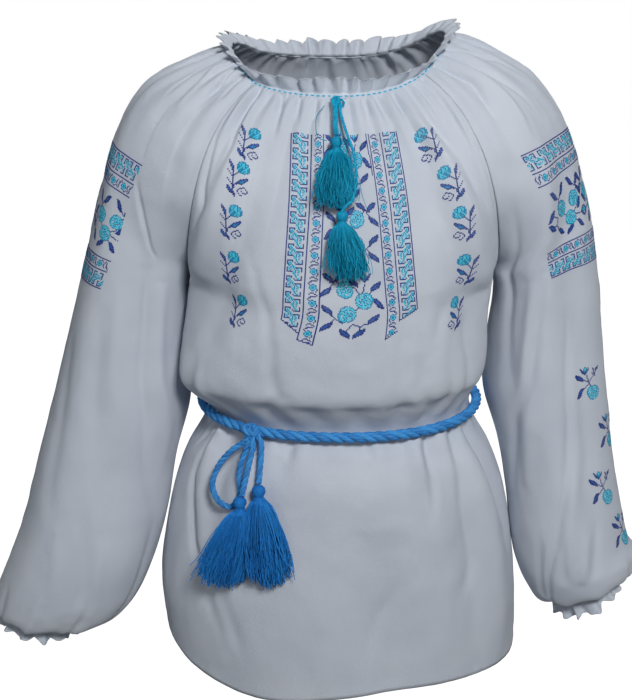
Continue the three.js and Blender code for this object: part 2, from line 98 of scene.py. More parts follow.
# Front and back: frontY, frontZ, backY, backZ, sideX, sideZ, shiftX, frontOpen, backOpen.
bodyRings = np.array(
    [
        (-70, -54, 68, -26, 82, -26, 0, 50, 50),
        (-84, -69, 80, -38, 98, -37, 0, 54, 54),
        (-100, -95, 92, -60, 116, -58, 0, 59, 58),
        (-115, -127, 101, -92, 132, -88, 0, 65, 64),
        (-127, -162, 108, -132, 144, -127, 0, 72, 71),
        (-136, -197, 112, -172, 152, -170, 0, 80, 80),
        (-141, -227, 113, -208, 157, -208, 0, 86, 86),
        (-143, -252, 112, -240, 157, -234, 0, 89, 89),
        (-144, -280, 110, -268, 153, -264, -5, 97, 90),
        (-143, -310, 108, -302, 149, -298, -9, 107, 90),
        (-140, -338, 106, -334, 147, -330, -11, 110, 90),
        (-126, -354, 102, -350, 143, -349, -8, 103, 90),
        (-108, -382, 88, -373, 139, -375, -2, 90, 90),
        (-119, -406, 99, -396, 146, -399, -2, 90, 90),
        (-130, -436, 109, -428, 164, -430, -2, 90, 90),
        (-134, -476, 117, -470, 179, -470, -2, 90, 90),
        (-137, -528, 123, -524, 190, -522, -2, 90, 90),
        (-140, -592, 128, -590, 198, -586, -2, 90, 90),
        (-141, -664, 130, -650, 197, -645, 1, 90, 90),
    ],
    float,
)
form = {"underarm": 7, "beltRow": 12, "neckRoll": 3.2, "neckRollEnds": 4, "leanX": 5}
hemRow = len(bodyRings) - 1
wristRow = len(sleeveRings["left"]) - 1


def smooth(v):
    v = np.clip(v, 0, 1)
    return v * v * (3 - 2 * v)


def vary(i):  # 0 to 1, its own for each whole i
    return np.abs(np.fmod(np.sin(np.asarray(i, float) * 12.9898 + 4.1) * 43758.5453, 1))


def between(rings, step):  # every column of the rings, read between the rows by a cubic
    last = len(rings) - 1
    row = np.clip(np.floor(step), 0, last - 1).astype(int)
    u = (step - row)[..., None]
    a, b, c, d = (rings[np.clip(row + k, 0, last)] for k in (-1, 0, 1, 2))
    m, n = (c - a) / 2, (d - b) / 2
    read = b + u * (m + u * (3 * (c - b) - 2 * m - n + u * (2 * (b - c) + m + n)))
    return np.moveaxis(read, -1, 0)


def posed(x, y, z, step):
    low = smooth(step / form["neckRollEnds"])
    roll = math.tan(math.radians(form["neckRoll"]))
    return np.stack([x + form["leanX"] * low, y + 0 * x, z + x * roll * (1 - low)], -1)


def sleevePoint(side, across, step):
    topX, topZ, innerX, innerZ, middleY, depth, rise, arc = between(sleeveRings[side], step)
    arc = np.radians(np.minimum(180, arc))
    turn = across * arc
    toTop = (np.cos(turn) - np.cos(arc)) / (1 - np.cos(arc))
    x = (1 if side == "left" else -1) * (innerX + (topX - innerX) * toTop)
    y = middleY + depth * np.sin(turn)
    return posed(x, y, innerZ + (topZ - innerZ) * toTop + rise * np.sin(turn), step)


def edgePoint(face, across, step):  # the raglan seam, then the side seam
    leftward = across >= 0
    seam = -1.0 if face == "front" else 1.0
    yoke = np.minimum(step, form["underarm"])
    left, right = (sleevePoint(side, seam + 0 * step, yoke) for side in ("left", "right"))
    ring = between(bodyRings, step)
    sideX = np.where(leftward, ring[4], -ring[4]) + ring[6]
    under = posed(sideX, -4.0, ring[5], step)
    above = np.where(leftward[..., None], left, right)
    return np.where((step <= form["underarm"])[..., None], above, under)


def hemSway(across):
    return -5 * across + 7 * np.cos(across * 5 + 4.64)


def bodyPoint(face, across, step):
    frontY, frontZ, backY, backZ, _, _, shiftX, frontArc, backArc = between(bodyRings, step)
    front = face == "front"
    arc = np.radians(frontArc if front else backArc)
    turn = np.abs(across) * arc
    middle = posed(shiftX, frontY if front else backY, frontZ if front else backZ, step)
    edge = edgePoint(face, across, step)
    toSide = ((1 - np.cos(turn)) / (1 - np.cos(arc))) ** 1.12
    point = middle + (edge - middle) * toSide[..., None]
    point[..., 0] = middle[..., 0] + (edge[..., 0] - middle[..., 0]) * np.sin(turn) / np.sin(arc)
    point[..., 2] += hemSway(across) * smooth((step - hemRow + 3) / 3)
    return point


def plainPoint(name, across, step):  # a point of a panel before its folds are raised
    across, step = np.broadcast_arrays(np.asarray(across, float), np.asarray(step, float))
    if name == "front":
        return bodyPoint("front", across, step)
    if name == "back":
        return bodyPoint("back", -across, step)
    return sleevePoint(name, across if name == "left" else -across, step)


# Long ridges, or troughs where height is negative: place, drift, first, last, width, height.
folds = {
    "front": [
        (-0.72, -0.1, 1, 9, 0.09, 5), (-0.5, -0.06, 2, 10, 0.07, -4), (0.6, 0.16, 1, 10, 0.09, 6),
        (0.46, 0.12, 2, 9, 0.07, -4), (-0.66, -0.06, 9, 15, 0.06, 5), (-0.52, -0.05, 12.3, 16, 0.06, -5),
        (-0.4, -0.02, 12.3, 17, 0.06, 5), (0.34, 0.02, 12.3, 16, 0.05, 4), (0.48, 0.04, 12.3, 18, 0.06, -6),
        (0.62, 0.06, 12.3, 18, 0.07, 7), (0.78, 0.05, 12.3, 17, 0.06, -5), (0.12, 0.08, 15, 19, 0.12, -6),
        (-0.25, 0, 14.5, 19, 0.14, 5),
    ],
    "back": [
        (-0.62, -0.1, 1, 10, 0.1, 5), (0.55, 0.1, 1, 10, 0.1, 5), (-0.3, -0.03, 3, 11, 0.09, -4),
        (0.25, 0.03, 3, 11, 0.09, -4), (-0.55, -0.05, 12.3, 19, 0.09, 6), (-0.28, 0, 12.3, 18, 0.08, -5),
        (-0.02, 0, 12.3, 19, 0.09, 6), (0.27, 0.02, 12.3, 18, 0.08, -6), (0.52, 0.05, 12.3, 19, 0.09, 6),
    ],
    "left": [
        (-0.62, 0.06, 1, 12, 0.1, 6), (-0.4, 0.02, 4, 15, 0.1, -5), (-0.15, 0.06, 8, 16, 0.1, 4),
        (0.35, -0.04, 2, 15, 0.12, 5), (0.6, 0, 6, 16, 0.1, -5),
    ],
    "right": [
        (-0.6, 0.04, 1, 12, 0.1, 6), (-0.42, 0.04, 5, 15, 0.1, -5), (-0.2, 0.02, 7, 16, 0.1, 4),
        (0.3, 0, 2, 15, 0.12, 5), (0.58, 0, 6, 16, 0.1, -5),
    ],
}
gathers = {"front": 13, "back": 10, "left": 9, "right": 9}
gatherDepth = 2.6
pinches = {"height": 1.6, "belt": (0.9, 0.7, 12), "elastic": (0.8, 0.6, 9)}  # steps away, width, waves
seamShare = 0.08  # of a panel's half width, over which its folds die away towards a seam


def isBody(name):
    return name in ("front", "back")


def gatherHeight(name, across, step):
    count = gathers[name]
    place = (across + 1) / 2 * count
    own = np.minimum(count - 1, np.floor(place))
    reach = 2.2 + 3.6 * vary(own + count)
    fade = smooth(step / 0.6) * (1 - smooth((step - 0.8) / reach))
    depth = gatherDepth * (0.6 + 0.6 * vary(own))
    return depth * fade * np.cos((place - own - 0.5) * 2 * math.pi)


def foldHeight(name, across, step):
    height = 0 * across * step
    for place, drift, first, last, width, high in folds[name]:
        down = np.clip((step - first) / (last - first), 0, 1)
        off = (across - place - drift * down) / width
        height = height + high * np.sin(math.pi * down) ** 0.7 * np.exp(-off * off)
    return height


def pinchHeight(name, across, step):  # short even waves beside the belt and the elastic
    if isBody(name):
        place, width, count = pinches["belt"]
        away = np.abs(step - form["beltRow"]) - place
    else:
        place, width, count = pinches["elastic"]
        away = wristRow - step - place
    return pinches["height"] * np.exp(-((away / width) ** 2)) * np.cos(across * math.pi * count)


def mainHeight(name, across, step):
    seam = smooth((1 - np.abs(across)) / seamShare)
    if isBody(name):
        pinch = smooth(np.abs(step - form["beltRow"]) / 1.2)
    else:
        pinch = smooth((wristRow - step) / 1.5)
    raised = gatherHeight(name, across, step) + pinch * foldHeight(name, across, step)
    return seam * (raised + pinchHeight(name, across, step))


# Finer creases, for this cloth only: width, height and the points that each runs through, as across and
# step. Each panel's scale turns across and step into millimetres. This table wasn't all placed by hand:
# scratch scripts worked out many of its points and scaled every width and height.
creaseScale = {"front": (150, 33), "back": (145, 33), "left": (200, 36), "right": (200, 38)}
creases = {
    "front": [
        (3.9, -2.9, [(-0.62, 0.0), (-0.52, 1.0), (-0.46, 2.3)]),
        (3.9, -3.5, [(-0.88, 0.0), (-0.84, 1.1), (-0.78, 2.5), (-0.82, 3.6)]),
        (6.9, 2.3, [(-0.96, 0.1), (-0.91, 1.3), (-0.86, 2.7)]),
        (4.6, -4.1, [(-0.95, 2.3), (-0.91, 3.7), (-0.86, 4.1), (-0.92, 4.8)]),
        (4.2, -3.2, [(-0.47, 4.8), (-0.39, 5.6), (-0.33, 6.7), (-0.25, 8.2), (-0.18, 9.8), (-0.3, 11.5)]),
        (6.9, 2.2, [(-0.4, 5.2), (-0.3, 7.2), (-0.17, 9.3)]),
        (4.5, -2.9, [(-0.86, 10.2), (-0.8, 10.9), (-0.72, 10.6)]),
        (3.9, -4.6, [(-0.7, 12.2), (-0.72, 14.2), (-0.62, 15.7), (-0.45, 16.9), (-0.38, 17.8)]),
        (8.0, 4.3, [(-0.7, 12.2), (-0.63, 14.3), (-0.55, 15.7), (-0.4, 16.8), (-0.32, 17.5)]),
        (4.5, -2.9, [(-0.45, 16.3), (-0.34, 17.3)]),
        (3.9, -3.2, [(-0.8, 12.2), (-0.9, 13.8)]),
        (3.9, -3.2, [(-0.75, 12.2), (-0.84, 13.9)]),
        (4.2, -2.6, [(-0.72, 12.1), (-0.64, 13.5)]),
        (3.6, -2.2, [(0.24, 0.3), (0.24, 1.3)]),
        (3.6, -2.3, [(0.36, 0.2), (0.37, 1.4)]),
        (3.9, -2.6, [(0.55, 0.1), (0.52, 1.5)]),
        (3.9, -3.2, [(0.82, 0.0), (0.78, 1.7), (0.77, 2.3)]),
        (3.9, -3.2, [(0.93, 0.3), (0.9, 2.0), (0.9, 3.2)]),
        (8.0, 4.6, [(0.52, 1.1), (0.67, 2.6), (0.73, 4.0), (0.82, 5.5)]),
        (6.9, -2.9, [(0.67, 1.3), (0.77, 2.8), (0.86, 4.3)]),
        (3.6, -2.3, [(-0.24, 0.0), (-0.18, 1.7)]),
        (3.9, -2.5, [(-0.41, 0.0), (-0.33, 1.5)]),
        (3.3, -1.7, [(0.06, 0.1), (0.05, 1.2)]),
        (3.3, -1.9, [(-0.1, 0.1), (-0.07, 1.5)]),
        (4.5, -2.6, [(0.32, 8.4), (0.3, 9.5), (0.4, 11.7)]),
        (4.5, -2.3, [(0.23, 6.9), (0.23, 9.5), (0.27, 11.5)]),
        (4.5, -2.6, [(0.44, 8.5), (0.46, 11.5)]),
        (4.5, -2.6, [(0.55, 7.6), (0.55, 11.5)]),
        (4.5, -2.0, [(0.41, 6.7), (0.4, 8.1)]),
        (4.5, 2.3, [(-0.55, 8.8), (-0.5, 11.6)]),
        (4.2, -4.1, [(0.43, 12.3), (0.37, 14.3), (0.35, 15.1)]),
        (5.2, 3.2, [(0.38, 12.2), (0.34, 14.0)]),
        (4.5, -4.1, [(0.61, 12.3), (0.52, 14.7), (0.53, 16.0), (0.5, 16.3), (0.44, 16.6), (0.41, 17.5)]),
        (7.5, 4.3, [(0.52, 12.2), (0.49, 14.2), (0.48, 15.7)]),
        (4.6, -4.1, [(0.74, 12.3), (0.77, 15.2), (0.85, 15.9)]),
        (3.9, -2.3, [(0.29, 12.2), (0.29, 13.3)]),
        (3.9, -2.2, [(0.12, 12.2), (0.13, 13.1)]),
        (3.9, -2.2, [(-0.22, 12.2), (-0.24, 13.2)]),
        (3.9, -2.3, [(0.23, 16.1), (0.12, 16.8), (0.07, 17.6)]),
        (9.2, 2.3, [(-0.19, 12.6), (-0.18, 15.2), (-0.13, 17.0)]),
        (10.3, -2.3, [(0.02, 12.6), (0.03, 15.2), (0.0, 17.2)]),
    ],
    "back": [
        (3.9, -2.9, [(-0.62, 0.1), (-0.54, 1.2), (-0.48, 2.6)]),
        (3.9, -2.9, [(-0.3, 0.1), (-0.27, 1.8)]),
        (3.6, -2.3, [(0.05, 0.1), (0.04, 1.6)]),
        (3.9, -2.8, [(0.34, 0.1), (0.3, 2.2)]),
        (3.9, -3.2, [(0.7, 0.1), (0.66, 1.4), (0.6, 2.8)]),
        (6.9, 2.3, [(-0.84, 0.8), (-0.8, 2.4), (-0.78, 4.0)]),
        (7.5, 3.5, [(0.84, 1.0), (0.8, 3.0), (0.82, 5.0)]),
        (5.1, -3.2, [(-0.66, 4.6), (-0.52, 7.2), (-0.42, 9.8), (-0.46, 11.5)]),
        (5.1, -3.2, [(0.62, 4.4), (0.48, 7.0), (0.36, 9.8), (0.4, 11.5)]),
        (8.0, 2.6, [(-0.16, 6.2), (-0.1, 9.0), (-0.12, 11.2)]),
        (5.8, -2.6, [(0.12, 6.8), (0.18, 9.4), (0.16, 11.5)]),
        (4.5, -2.6, [(-0.8, 8.4), (-0.72, 11.5)]),
        (4.5, -2.6, [(0.8, 8.2), (0.7, 11.5)]),
        (4.5, -3.8, [(-0.78, 12.2), (-0.84, 14.2), (-0.8, 16.0)]),
        (6.9, 3.8, [(-0.66, 12.2), (-0.6, 14.6), (-0.62, 17.2)]),
        (4.2, -3.5, [(-0.46, 12.2), (-0.42, 14.4), (-0.36, 16.0)]),
        (3.9, -2.6, [(-0.2, 12.2), (-0.18, 13.8)]),
        (6.9, 2.9, [(-0.06, 12.2), (-0.02, 14.8), (0.04, 16.8)]),
        (4.2, -3.2, [(0.16, 12.2), (0.18, 14.2)]),
        (4.5, -3.8, [(0.44, 12.2), (0.5, 14.6), (0.46, 16.8)]),
        (6.9, 3.8, [(0.6, 12.2), (0.64, 15.0), (0.7, 17.0)]),
        (4.5, -3.5, [(0.82, 12.2), (0.88, 14.4)]),
    ],
    "left": [
        (4.5, -2.9, [(-0.49, 0.3), (-0.24, 1.8), (-0.21, 3.0)]),
        (4.5, -3.5, [(-0.84, 0.2), (-0.73, 1.5), (-0.82, 2.8)]),
        (4.5, -2.6, [(-0.6, 0.3), (-0.47, 2.6), (-0.44, 3.5)]),
        (6.9, 3.2, [(-0.62, 0.8), (-0.6, 2.2), (-0.66, 3.8)]),
        (4.5, -2.6, [(-0.12, 0.2), (0.0, 2.2)]),
        (4.5, -2.9, [(0.22, 0.2), (0.3, 2.4)]),
        (4.5, -2.9, [(0.56, 0.2), (0.54, 1.8), (0.6, 3.2)]),
        (6.9, -3.8, [(-0.88, 4.4), (-0.8, 6.6), (-0.78, 8.5), (-0.72, 9.7)]),
        (5.2, -4.1, [(-0.55, 7.2), (-0.59, 8.5), (-0.62, 9.7), (-0.74, 10.5), (-0.88, 11.8)]),
        (6.9, 3.5, [(-0.63, 7.6), (-0.65, 9.6), (-0.72, 10.5)]),
        (6.9, 3.5, [(-0.59, 9.6), (-0.68, 10.7), (-0.76, 11.7)]),
        (3.3, -3.8, [(-0.42, 8.6), (-0.43, 10.3), (-0.51, 11.4), (-0.57, 12.1), (-0.7, 13.6), (-0.78, 15.2)]),
        (6.9, 2.6, [(-0.37, 9.0), (-0.4, 10.9), (-0.51, 12.1), (-0.6, 13.4)]),
        (4.5, -2.6, [(-0.7, 12.6), (-0.8, 14.6)]),
        (4.6, 2.9, [(-0.43, 12.6), (-0.54, 13.9)]),
        (4.6, -2.6, [(-0.34, 12.2), (-0.47, 13.8)]),
        (5.2, -2.6, [(-0.57, 12.6), (-0.63, 13.9)]),
        (8.0, -2.6, [(-0.09, 8.8), (-0.09, 10.3)]),
        (8.0, 2.9, [(0.2, 7.0), (0.24, 10.0), (0.18, 13.0)]),
        (4.6, -3.5, [(0.46, 6.4), (0.4, 9.4), (0.44, 12.8)]),
        (6.9, 3.5, [(0.74, 5.8), (0.66, 9.4), (0.7, 12.6)]),
        (4.5, -3.2, [(0.6, 10.4), (0.62, 13.0), (0.56, 15.2)]),
        (4.5, -3.2, [(0.1, 13.2), (0.14, 15.6)]),
        (4.5, 2.6, [(0.32, 13.4), (0.36, 15.6)]),
        (4.5, -2.9, [(-0.2, 13.6), (-0.24, 15.6)]),
        (4.5, -2.9, [(0.86, 13.2), (0.82, 15.4)]),
    ],
    "right": [
        (4.6, -3.5, [(0.66, 0.3), (0.74, 1.2), (0.74, 2.3)]),
        (5.8, 2.9, [(0.47, 0.4), (0.57, 1.6), (0.61, 2.6)]),
        (4.5, -2.9, [(0.33, 0.3), (0.38, 1.7), (0.46, 2.9)]),
        (4.5, -2.9, [(0.84, 0.2), (0.88, 1.6)]),
        (4.5, -2.6, [(0.1, 0.2), (0.06, 2.4)]),
        (4.5, -2.9, [(-0.26, 0.2), (-0.32, 2.2)]),
        (4.5, -2.9, [(-0.6, 0.2), (-0.58, 1.8), (-0.64, 3.2)]),
        (3.9, -3.5, [(0.53, 4.9), (0.6, 5.4), (0.64, 5.9), (0.65, 6.7)]),
        (5.8, -4.1, [(0.58, 7.0), (0.62, 8.7), (0.62, 9.6), (0.69, 10.6), (0.85, 12.0)]),
        (6.9, 4.1, [(0.7, 7.6), (0.71, 9.5), (0.8, 10.5), (0.84, 11.2)]),
        (4.5, -3.2, [(0.82, 11.9), (0.86, 13.4), (0.84, 14.9)]),
        (6.9, -2.6, [(0.44, 11.3), (0.52, 12.5), (0.59, 13.7)]),
        (6.9, 2.6, [(0.37, 11.8), (0.45, 13.4)]),
        (5.8, 2.6, [(0.58, 12.1), (0.66, 14.2)]),
        (8.0, -2.9, [(0.37, 8.5), (0.4, 9.9), (0.5, 10.9)]),
        (8.0, 2.6, [(0.45, 8.1), (0.48, 9.5), (0.57, 10.5)]),
        (8.0, -2.6, [(0.18, 9.1), (0.26, 10.4), (0.32, 11.8)]),
        (8.0, 2.9, [(-0.2, 7.0), (-0.24, 10.0), (-0.18, 13.0)]),
        (4.6, -3.5, [(-0.46, 6.4), (-0.4, 9.4), (-0.44, 12.8)]),
        (6.9, 3.5, [(-0.74, 5.8), (-0.66, 9.4), (-0.7, 12.6)]),
        (4.5, -2.9, [(0.62, 13.2), (0.66, 15.6)]),
        (4.5, 2.6, [(0.4, 13.4), (0.42, 15.6)]),
        (4.5, -2.9, [(0.2, 13.4), (0.22, 15.6)]),
        (4.5, -3.2, [(-0.12, 13.2), (-0.14, 15.6)]),
        (4.5, -2.9, [(-0.56, 13.2), (-0.52, 15.6)]),
    ],
}
fullFrom = {True: (0, 12.3), False: (0,)}  # steps from which a crease starts at its full depth


def creaseHeight(name, across, step):
    wide, tall = creaseScale[name]
    height = 0 * across * step
    x, y = across * wide, step * tall
    for width, high, line in creases[name]:
        points = np.array(line) * (wide, tall)
        spans = np.linalg.norm(np.diff(points, axis=0), axis=1)
        before, total = 0.0, spans.sum()
        near = np.full(height.shape, 1e9)
        share = 0 * height
        for start, end, span in zip(points[:-1], points[1:], spans):
            way = (end - start) / span
            along = np.clip((x - start[0]) * way[0] + (y - start[1]) * way[1], 0, span)
            away = (x - start[0] - along * way[0]) ** 2 + (y - start[1] - along * way[1]) ** 2
            share = np.where(away < near, (before + along) / total, share)
            near = np.minimum(near, away)
            before += span
        full = any(abs(line[0][1] - step0) < 0.4 for step0 in fullFrom[isBody(name)])
        fade = 1 - smooth((share - 0.6) / 0.4) if full else np.sin(math.pi * share) ** 0.6
        height = height + high * fade * np.exp(-near / width**2)
    return height


def hashed(i, j, k):
    value = np.sin(i * 127.1 + j * 311.7 + k * 74.7 + 3.1) * 43758.5453
    return value - np.floor(value)


def softNoise(points, size):  # -1 to 1, smooth over about one size
    p = points / size
    cell = np.floor(p)
    f = p - cell
    f = f * f * (3 - 2 * f)
    total = 0
    for corner in np.ndindex(2, 2, 2):
        weight = np.prod(np.where(corner, f, 1 - f), -1)
        total = total + weight * hashed(*np.moveaxis(cell + corner, -1, 0))
    return 2 * total - 1


cloth = {
    "thickness": 0.8,
    "seamHalfGap": 0.05,
    "seamDip": 0.55,  # how far the cloth rolls in along a seam
    "seamWidth": 1.8,
    "hemTurnUp": 9,  # the hem's fold, above its edge
    "crumple": 0.5,
    "crumpleSize": 17,
    "gatherRise": 0.45,
    "neckLess": 0.3,  # share taken off the solid's folds at the neck
    "neckLessSteps": 3,  # steps over which that runs out
}
panels = {
    "front": {"node": "front", "columns": 190, "rows": 204},
    "back": {"node": "back", "columns": 116, "rows": 130},
    "left": {"node": "sleeve_left", "columns": 156, "rows": 170},
    "right": {"node": "sleeve_right", "columns": 156, "rows": 174},
}
halfWidth = {"front": 150, "back": 145, "left": 150, "right": 150}


def stepsOf(name, count):  # closer together at the neck, the belt and the wrist
    last = hemRow if isBody(name) else wristRow
    even = np.linspace(0, last, 2000)
    density = 1 + 1.6 * np.exp(-even / 0.8)
    tight = form["beltRow"] if isBody(name) else wristRow - 0.6
    density += 1.3 * np.exp(-(((even - tight) / 1.1) ** 2))
    run = np.concatenate([[0], np.cumsum((density[1:] + density[:-1]) / 2)])
    return np.interp(np.linspace(0, run[-1], count + 1), run, even)


def smallGathers(name, across, step):  # fine uneven pleats that run out of the casing
    height = 0 * across * step
    for times in (2.3, 3.7):
        count = gathers[name] * times
        place = (across + 1 + 0.03 * np.sin(across * 11 * times)) / 2 * count
        own = np.floor(place)
        reach = 0.3 + 1.6 * vary(own * 3 + count) ** 2
        fade = smooth(step / 0.12) * (1 - smooth((step - 0.2) / reach))
        depth = cloth["gatherRise"] * (0.3 + vary(own + 5 * times))
        height = height + depth * fade * (np.cos((place - own - 0.5) * 2 * math.pi) + 1)
    return height


def clothSurface(name, across, step):  # points of a panel, every fold raised
    nudge = 0.01
    last = hemRow if isBody(name) else wristRow
    ahead, behind = np.minimum(1, across + nudge), np.maximum(-1, across - nudge)
    under, over = np.minimum(last, step + nudge), np.maximum(0, step - nudge)
    along = plainPoint(name, ahead, step) - plainPoint(name, behind, step)
    down = plainPoint(name, across, under) - plainPoint(name, across, over)
    normal = np.cross(down, along)
    normal /= np.linalg.norm(normal, axis=-1, keepdims=True)
    plain = plainPoint(name, across, step)
    fromEdge = 1 - np.abs(across)
    edge = smooth(fromEdge / seamShare)
    if isBody(name):
        calm = smooth(np.abs(step - form["beltRow"]) / 0.5)
    else:
        calm = smooth((wristRow - step) / 0.4)
    mainShare = 1 - cloth["neckLess"] * np.exp(-step / cloth["neckLessSteps"])
    height = mainHeight(name, across, step) * mainShare + edge * smallGathers(name, across, step)
    height = height + edge * calm * smooth(step / 0.25) * creaseHeight(name, across, step)
    crumple = softNoise(plain, cloth["crumpleSize"]) + 0.5 * softNoise(plain + 9, cloth["crumpleSize"] / 2.3)
    height = height + cloth["crumple"] * crumple * edge * smooth(step / 0.5) * calm
    dip = np.exp(-((fromEdge * halfWidth[name] / cloth["seamWidth"]) ** 2))
    height = height - cloth["seamDip"] * dip * smooth(step / 0.3)
    if isBody(name):  # the turned-up hem is two layers, with a stitched dip above it
        fromHem = (hemRow - step) * creaseScale[name][1]
        height = height - 0.5 * np.exp(-(((fromHem - cloth["hemTurnUp"]) / 1.6) ** 2))
    return plain + normal * height[..., None]


def gridNormals(points):
    down, along = np.gradient(points, axis=0), np.gradient(points, axis=1)
    normal = np.cross(down, along)
    return normal / np.maximum(np.linalg.norm(normal, axis=-1, keepdims=True), 1e-9)


def newObject(name, mesh, material=None):
    thing = bpy.data.objects.new(name, mesh)
    scene.collection.objects.link(thing)
    if material is not None:
        mesh.materials.clear()
        mesh.materials.append(material)
    return thing


def standFor(piece, node):  # the piece is attached to the root and takes the place of a solid, which is hidden
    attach(piece, "root")
    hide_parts(node)


def smoothMesh(name, points, faces):
    mesh = bpy.data.meshes.new(name)
    mesh.from_pydata([tuple(p) for p in np.asarray(points, float) * mm], [], faces)
    mesh.validate()
    mesh.shade_smooth()
    return mesh


def gridFaces(tall, wide, start=0, flip=False):
    i, k = np.meshgrid(np.arange(tall - 1), np.arange(wide - 1), indexing="ij")
    a = (start + i * wide + k).ravel()
    quads = np.stack([a, a + wide, a + wide + 1, a + 1], -1)
    return (quads[:, ::-1] if flip else quads).tolist()


# A wall inside a grid of points; welded marks the rows whose first and last columns are one.
def shellMesh(name, grid, thickness, welded=None):
    tall, wide = grid.shape[:2]
    normals = gridNormals(grid)
    if welded is not None:
        ends = normals[welded, 0] + normals[welded, -1]
        ends /= np.linalg.norm(ends, axis=-1, keepdims=True)
        normals[welded, 0] = normals[welded, -1] = ends
    inner = grid - normals * thickness
    count = tall * wide
    points = np.concatenate([grid.reshape(-1, 3), inner.reshape(-1, 3)])
    faces = gridFaces(tall, wide) + gridFaces(tall, wide, count, flip=True)
    number = np.arange(count).reshape(tall, wide)
    rims = [number[0, ::-1], number[-1]]
    joined = np.zeros(tall, bool) if welded is None else welded
    apart = ~(joined[:-1] & joined[1:])
    runs = [(number[:, 0], apart, False), (number[:, -1], apart, True)]
    for rim in rims:
        faces += [[a, a + count, b + count, b] for a, b in zip(rim[:-1].tolist(), rim[1:].tolist())]
    for line, keep, turned in runs:
        for k in np.nonzero(keep)[0]:
            a, b = int(line[k]), int(line[k + 1])
            quad = [b, b + count, a + count, a] if turned else [a, a + count, b + count, b]
            faces.append(quad)
    if welded is not None:  # the last column's points become the first's
        same = {}
        for i in np.nonzero(joined)[0]:
            for shift in (0, count):
                same[int(number[i, -1]) + shift] = int(number[i, 0]) + shift
        faces = [[same.get(v, v) for v in face] for face in faces]
        used = np.unique(np.concatenate([np.array(f) for f in faces]))
        renumber = {int(v): n for n, v in enumerate(used)}
        faces = [[renumber[v] for v in face] for face in faces]
        points = points[used]
    return smoothMesh(name, points, faces)


def buildPanel(name, material):
    size = panels[name]
    steps = stepsOf(name, size["rows"])
    across = np.linspace(-1, 1, size["columns"] + 1)
    drawBack = cloth["seamHalfGap"] / halfWidth[name]
    welded = None
    if isBody(name):
        shrink = np.full(len(steps), 1 - drawBack)
    else:
        welded = steps >= form["underarm"]
        shrink = np.where(welded, 1, 1 - drawBack)
    a = across[None] * shrink[:, None]
    s = np.broadcast_to(steps[:, None], a.shape)
    grid = clothSurface(name, a, s)
    if welded is not None:
        grid[welded, -1] = grid[welded, 0]
    mesh = shellMesh(size["node"] + "_cloth", grid, cloth["thickness"], welded)
    piece = newObject(size["node"] + "_cloth", mesh, material)
    panels[name].update(grid=grid, normals=gridNormals(grid), plain=plainPoint(name, a, s))
    print(f"{piece.name}: {2 * len(mesh.polygons)} triangles")
    return piece


# Each finish runs from its shade, at the dark end, to its colour. The shade is painted into the crepe's
# pebble hollows and the yarns' grooves, and is a darker tone at random in blotches, plies and strands.
finish = {
    "crepe": {"colour": (0.62, 0.66, 0.73), "shade": (0.54, 0.59, 0.67), "roughness": 0.78},
    "rope": {"colour": (0.058, 0.31, 0.70), "shade": (0.02, 0.14, 0.42), "roughness": 0.72},
    "tassel": {"colour": (0.02, 0.26, 0.72), "shade": (0.004, 0.11, 0.40), "roughness": 0.75},
    "drawstring": {"colour": (0.004, 0.42, 0.66), "shade": (0.0, 0.17, 0.33), "roughness": 0.6},
}
threadColours = {
    "n": (0.014, 0.03, 0.22), "b": (0.012, 0.12, 0.42), "t": (0, 0.25, 0.46), "l": (0.08, 0.62, 0.78),
}
threadOrder = "nbtl"


def place(tree, kind, x=0, y=0, **values):
    node = tree.nodes.new(kind)
    node.location = (x, y)
    for label, value in values.items():
        setattr(node, label, value)
    return node


def grainGroup():  # crepe's pebbled weave: a tone, with painted shade in the pebbles' hollows, and a height from Object coordinates
    tree = bpy.data.node_groups.new("crepeGrain", "ShaderNodeTree")
    for label, value in (("Pebble Size", 1.0), ("Thread Size", 0.45), ("Blotch Size", 60.0)):
        socket = tree.interface.new_socket(label, in_out="INPUT", socket_type="NodeSocketFloat")
        socket.default_value = value
    for label in ("ToneAndPaintedShade", "Height"):
        tree.interface.new_socket(label, in_out="OUTPUT", socket_type="NodeSocketFloat")
    inputs, outputs = place(tree, "NodeGroupInput", -900), place(tree, "NodeGroupOutput", 500)
    where = place(tree, "ShaderNodeTexCoord", -900, 300)
    link = tree.links.new

    def scaleOf(label, y):  # texture scale for a feature size in millimetres
        node = place(tree, "ShaderNodeMath", -650, y, operation="DIVIDE")
        node.inputs[0].default_value = 1000.0
        link(inputs.outputs[label], node.inputs[1])
        return node.outputs[0]

    pebbles = place(tree, "ShaderNodeTexNoise", -400, 200)
    pebbles.inputs["Detail"].default_value = 3.0
    link(where.outputs["Object"], pebbles.inputs["Vector"])
    link(scaleOf("Pebble Size", 100), pebbles.inputs["Scale"])
    threads = place(tree, "ShaderNodeTexWave", -400, -100, bands_direction="Z")
    threads.inputs["Distortion"].default_value = 3.5
    threads.inputs["Detail"].default_value = 2.0
    link(where.outputs["Object"], threads.inputs["Vector"])
    link(scaleOf("Thread Size", -150), threads.inputs["Scale"])
    blotches = place(tree, "ShaderNodeTexNoise", -400, -400)
    blotches.inputs["Detail"].default_value = 1.0
    link(where.outputs["Object"], blotches.inputs["Vector"])
    link(scaleOf("Blotch Size", -400), blotches.inputs["Scale"])
    both = place(tree, "ShaderNodeMath", -100, 100, operation="MULTIPLY_ADD")
    both.inputs[1].default_value = 0.08
    link(threads.outputs["Fac"], both.inputs[0])
    link(pebbles.outputs["Fac"], both.inputs[2])
    # The tone takes the pebbles that also raise the bump, so their hollows are darker: painted shade. The
    # blotches are tone that differs at random.
    tone = place(tree, "ShaderNodeMath", -100, -200, operation="MULTIPLY_ADD")
    tone.inputs[1].default_value = 0.3
    link(pebbles.outputs["Fac"], tone.inputs[0])
    link(blotches.outputs["Fac"], tone.inputs[2])
    link(tone.outputs[0], outputs.inputs["ToneAndPaintedShade"])
    link(both.outputs[0], outputs.inputs["Height"])
    return tree
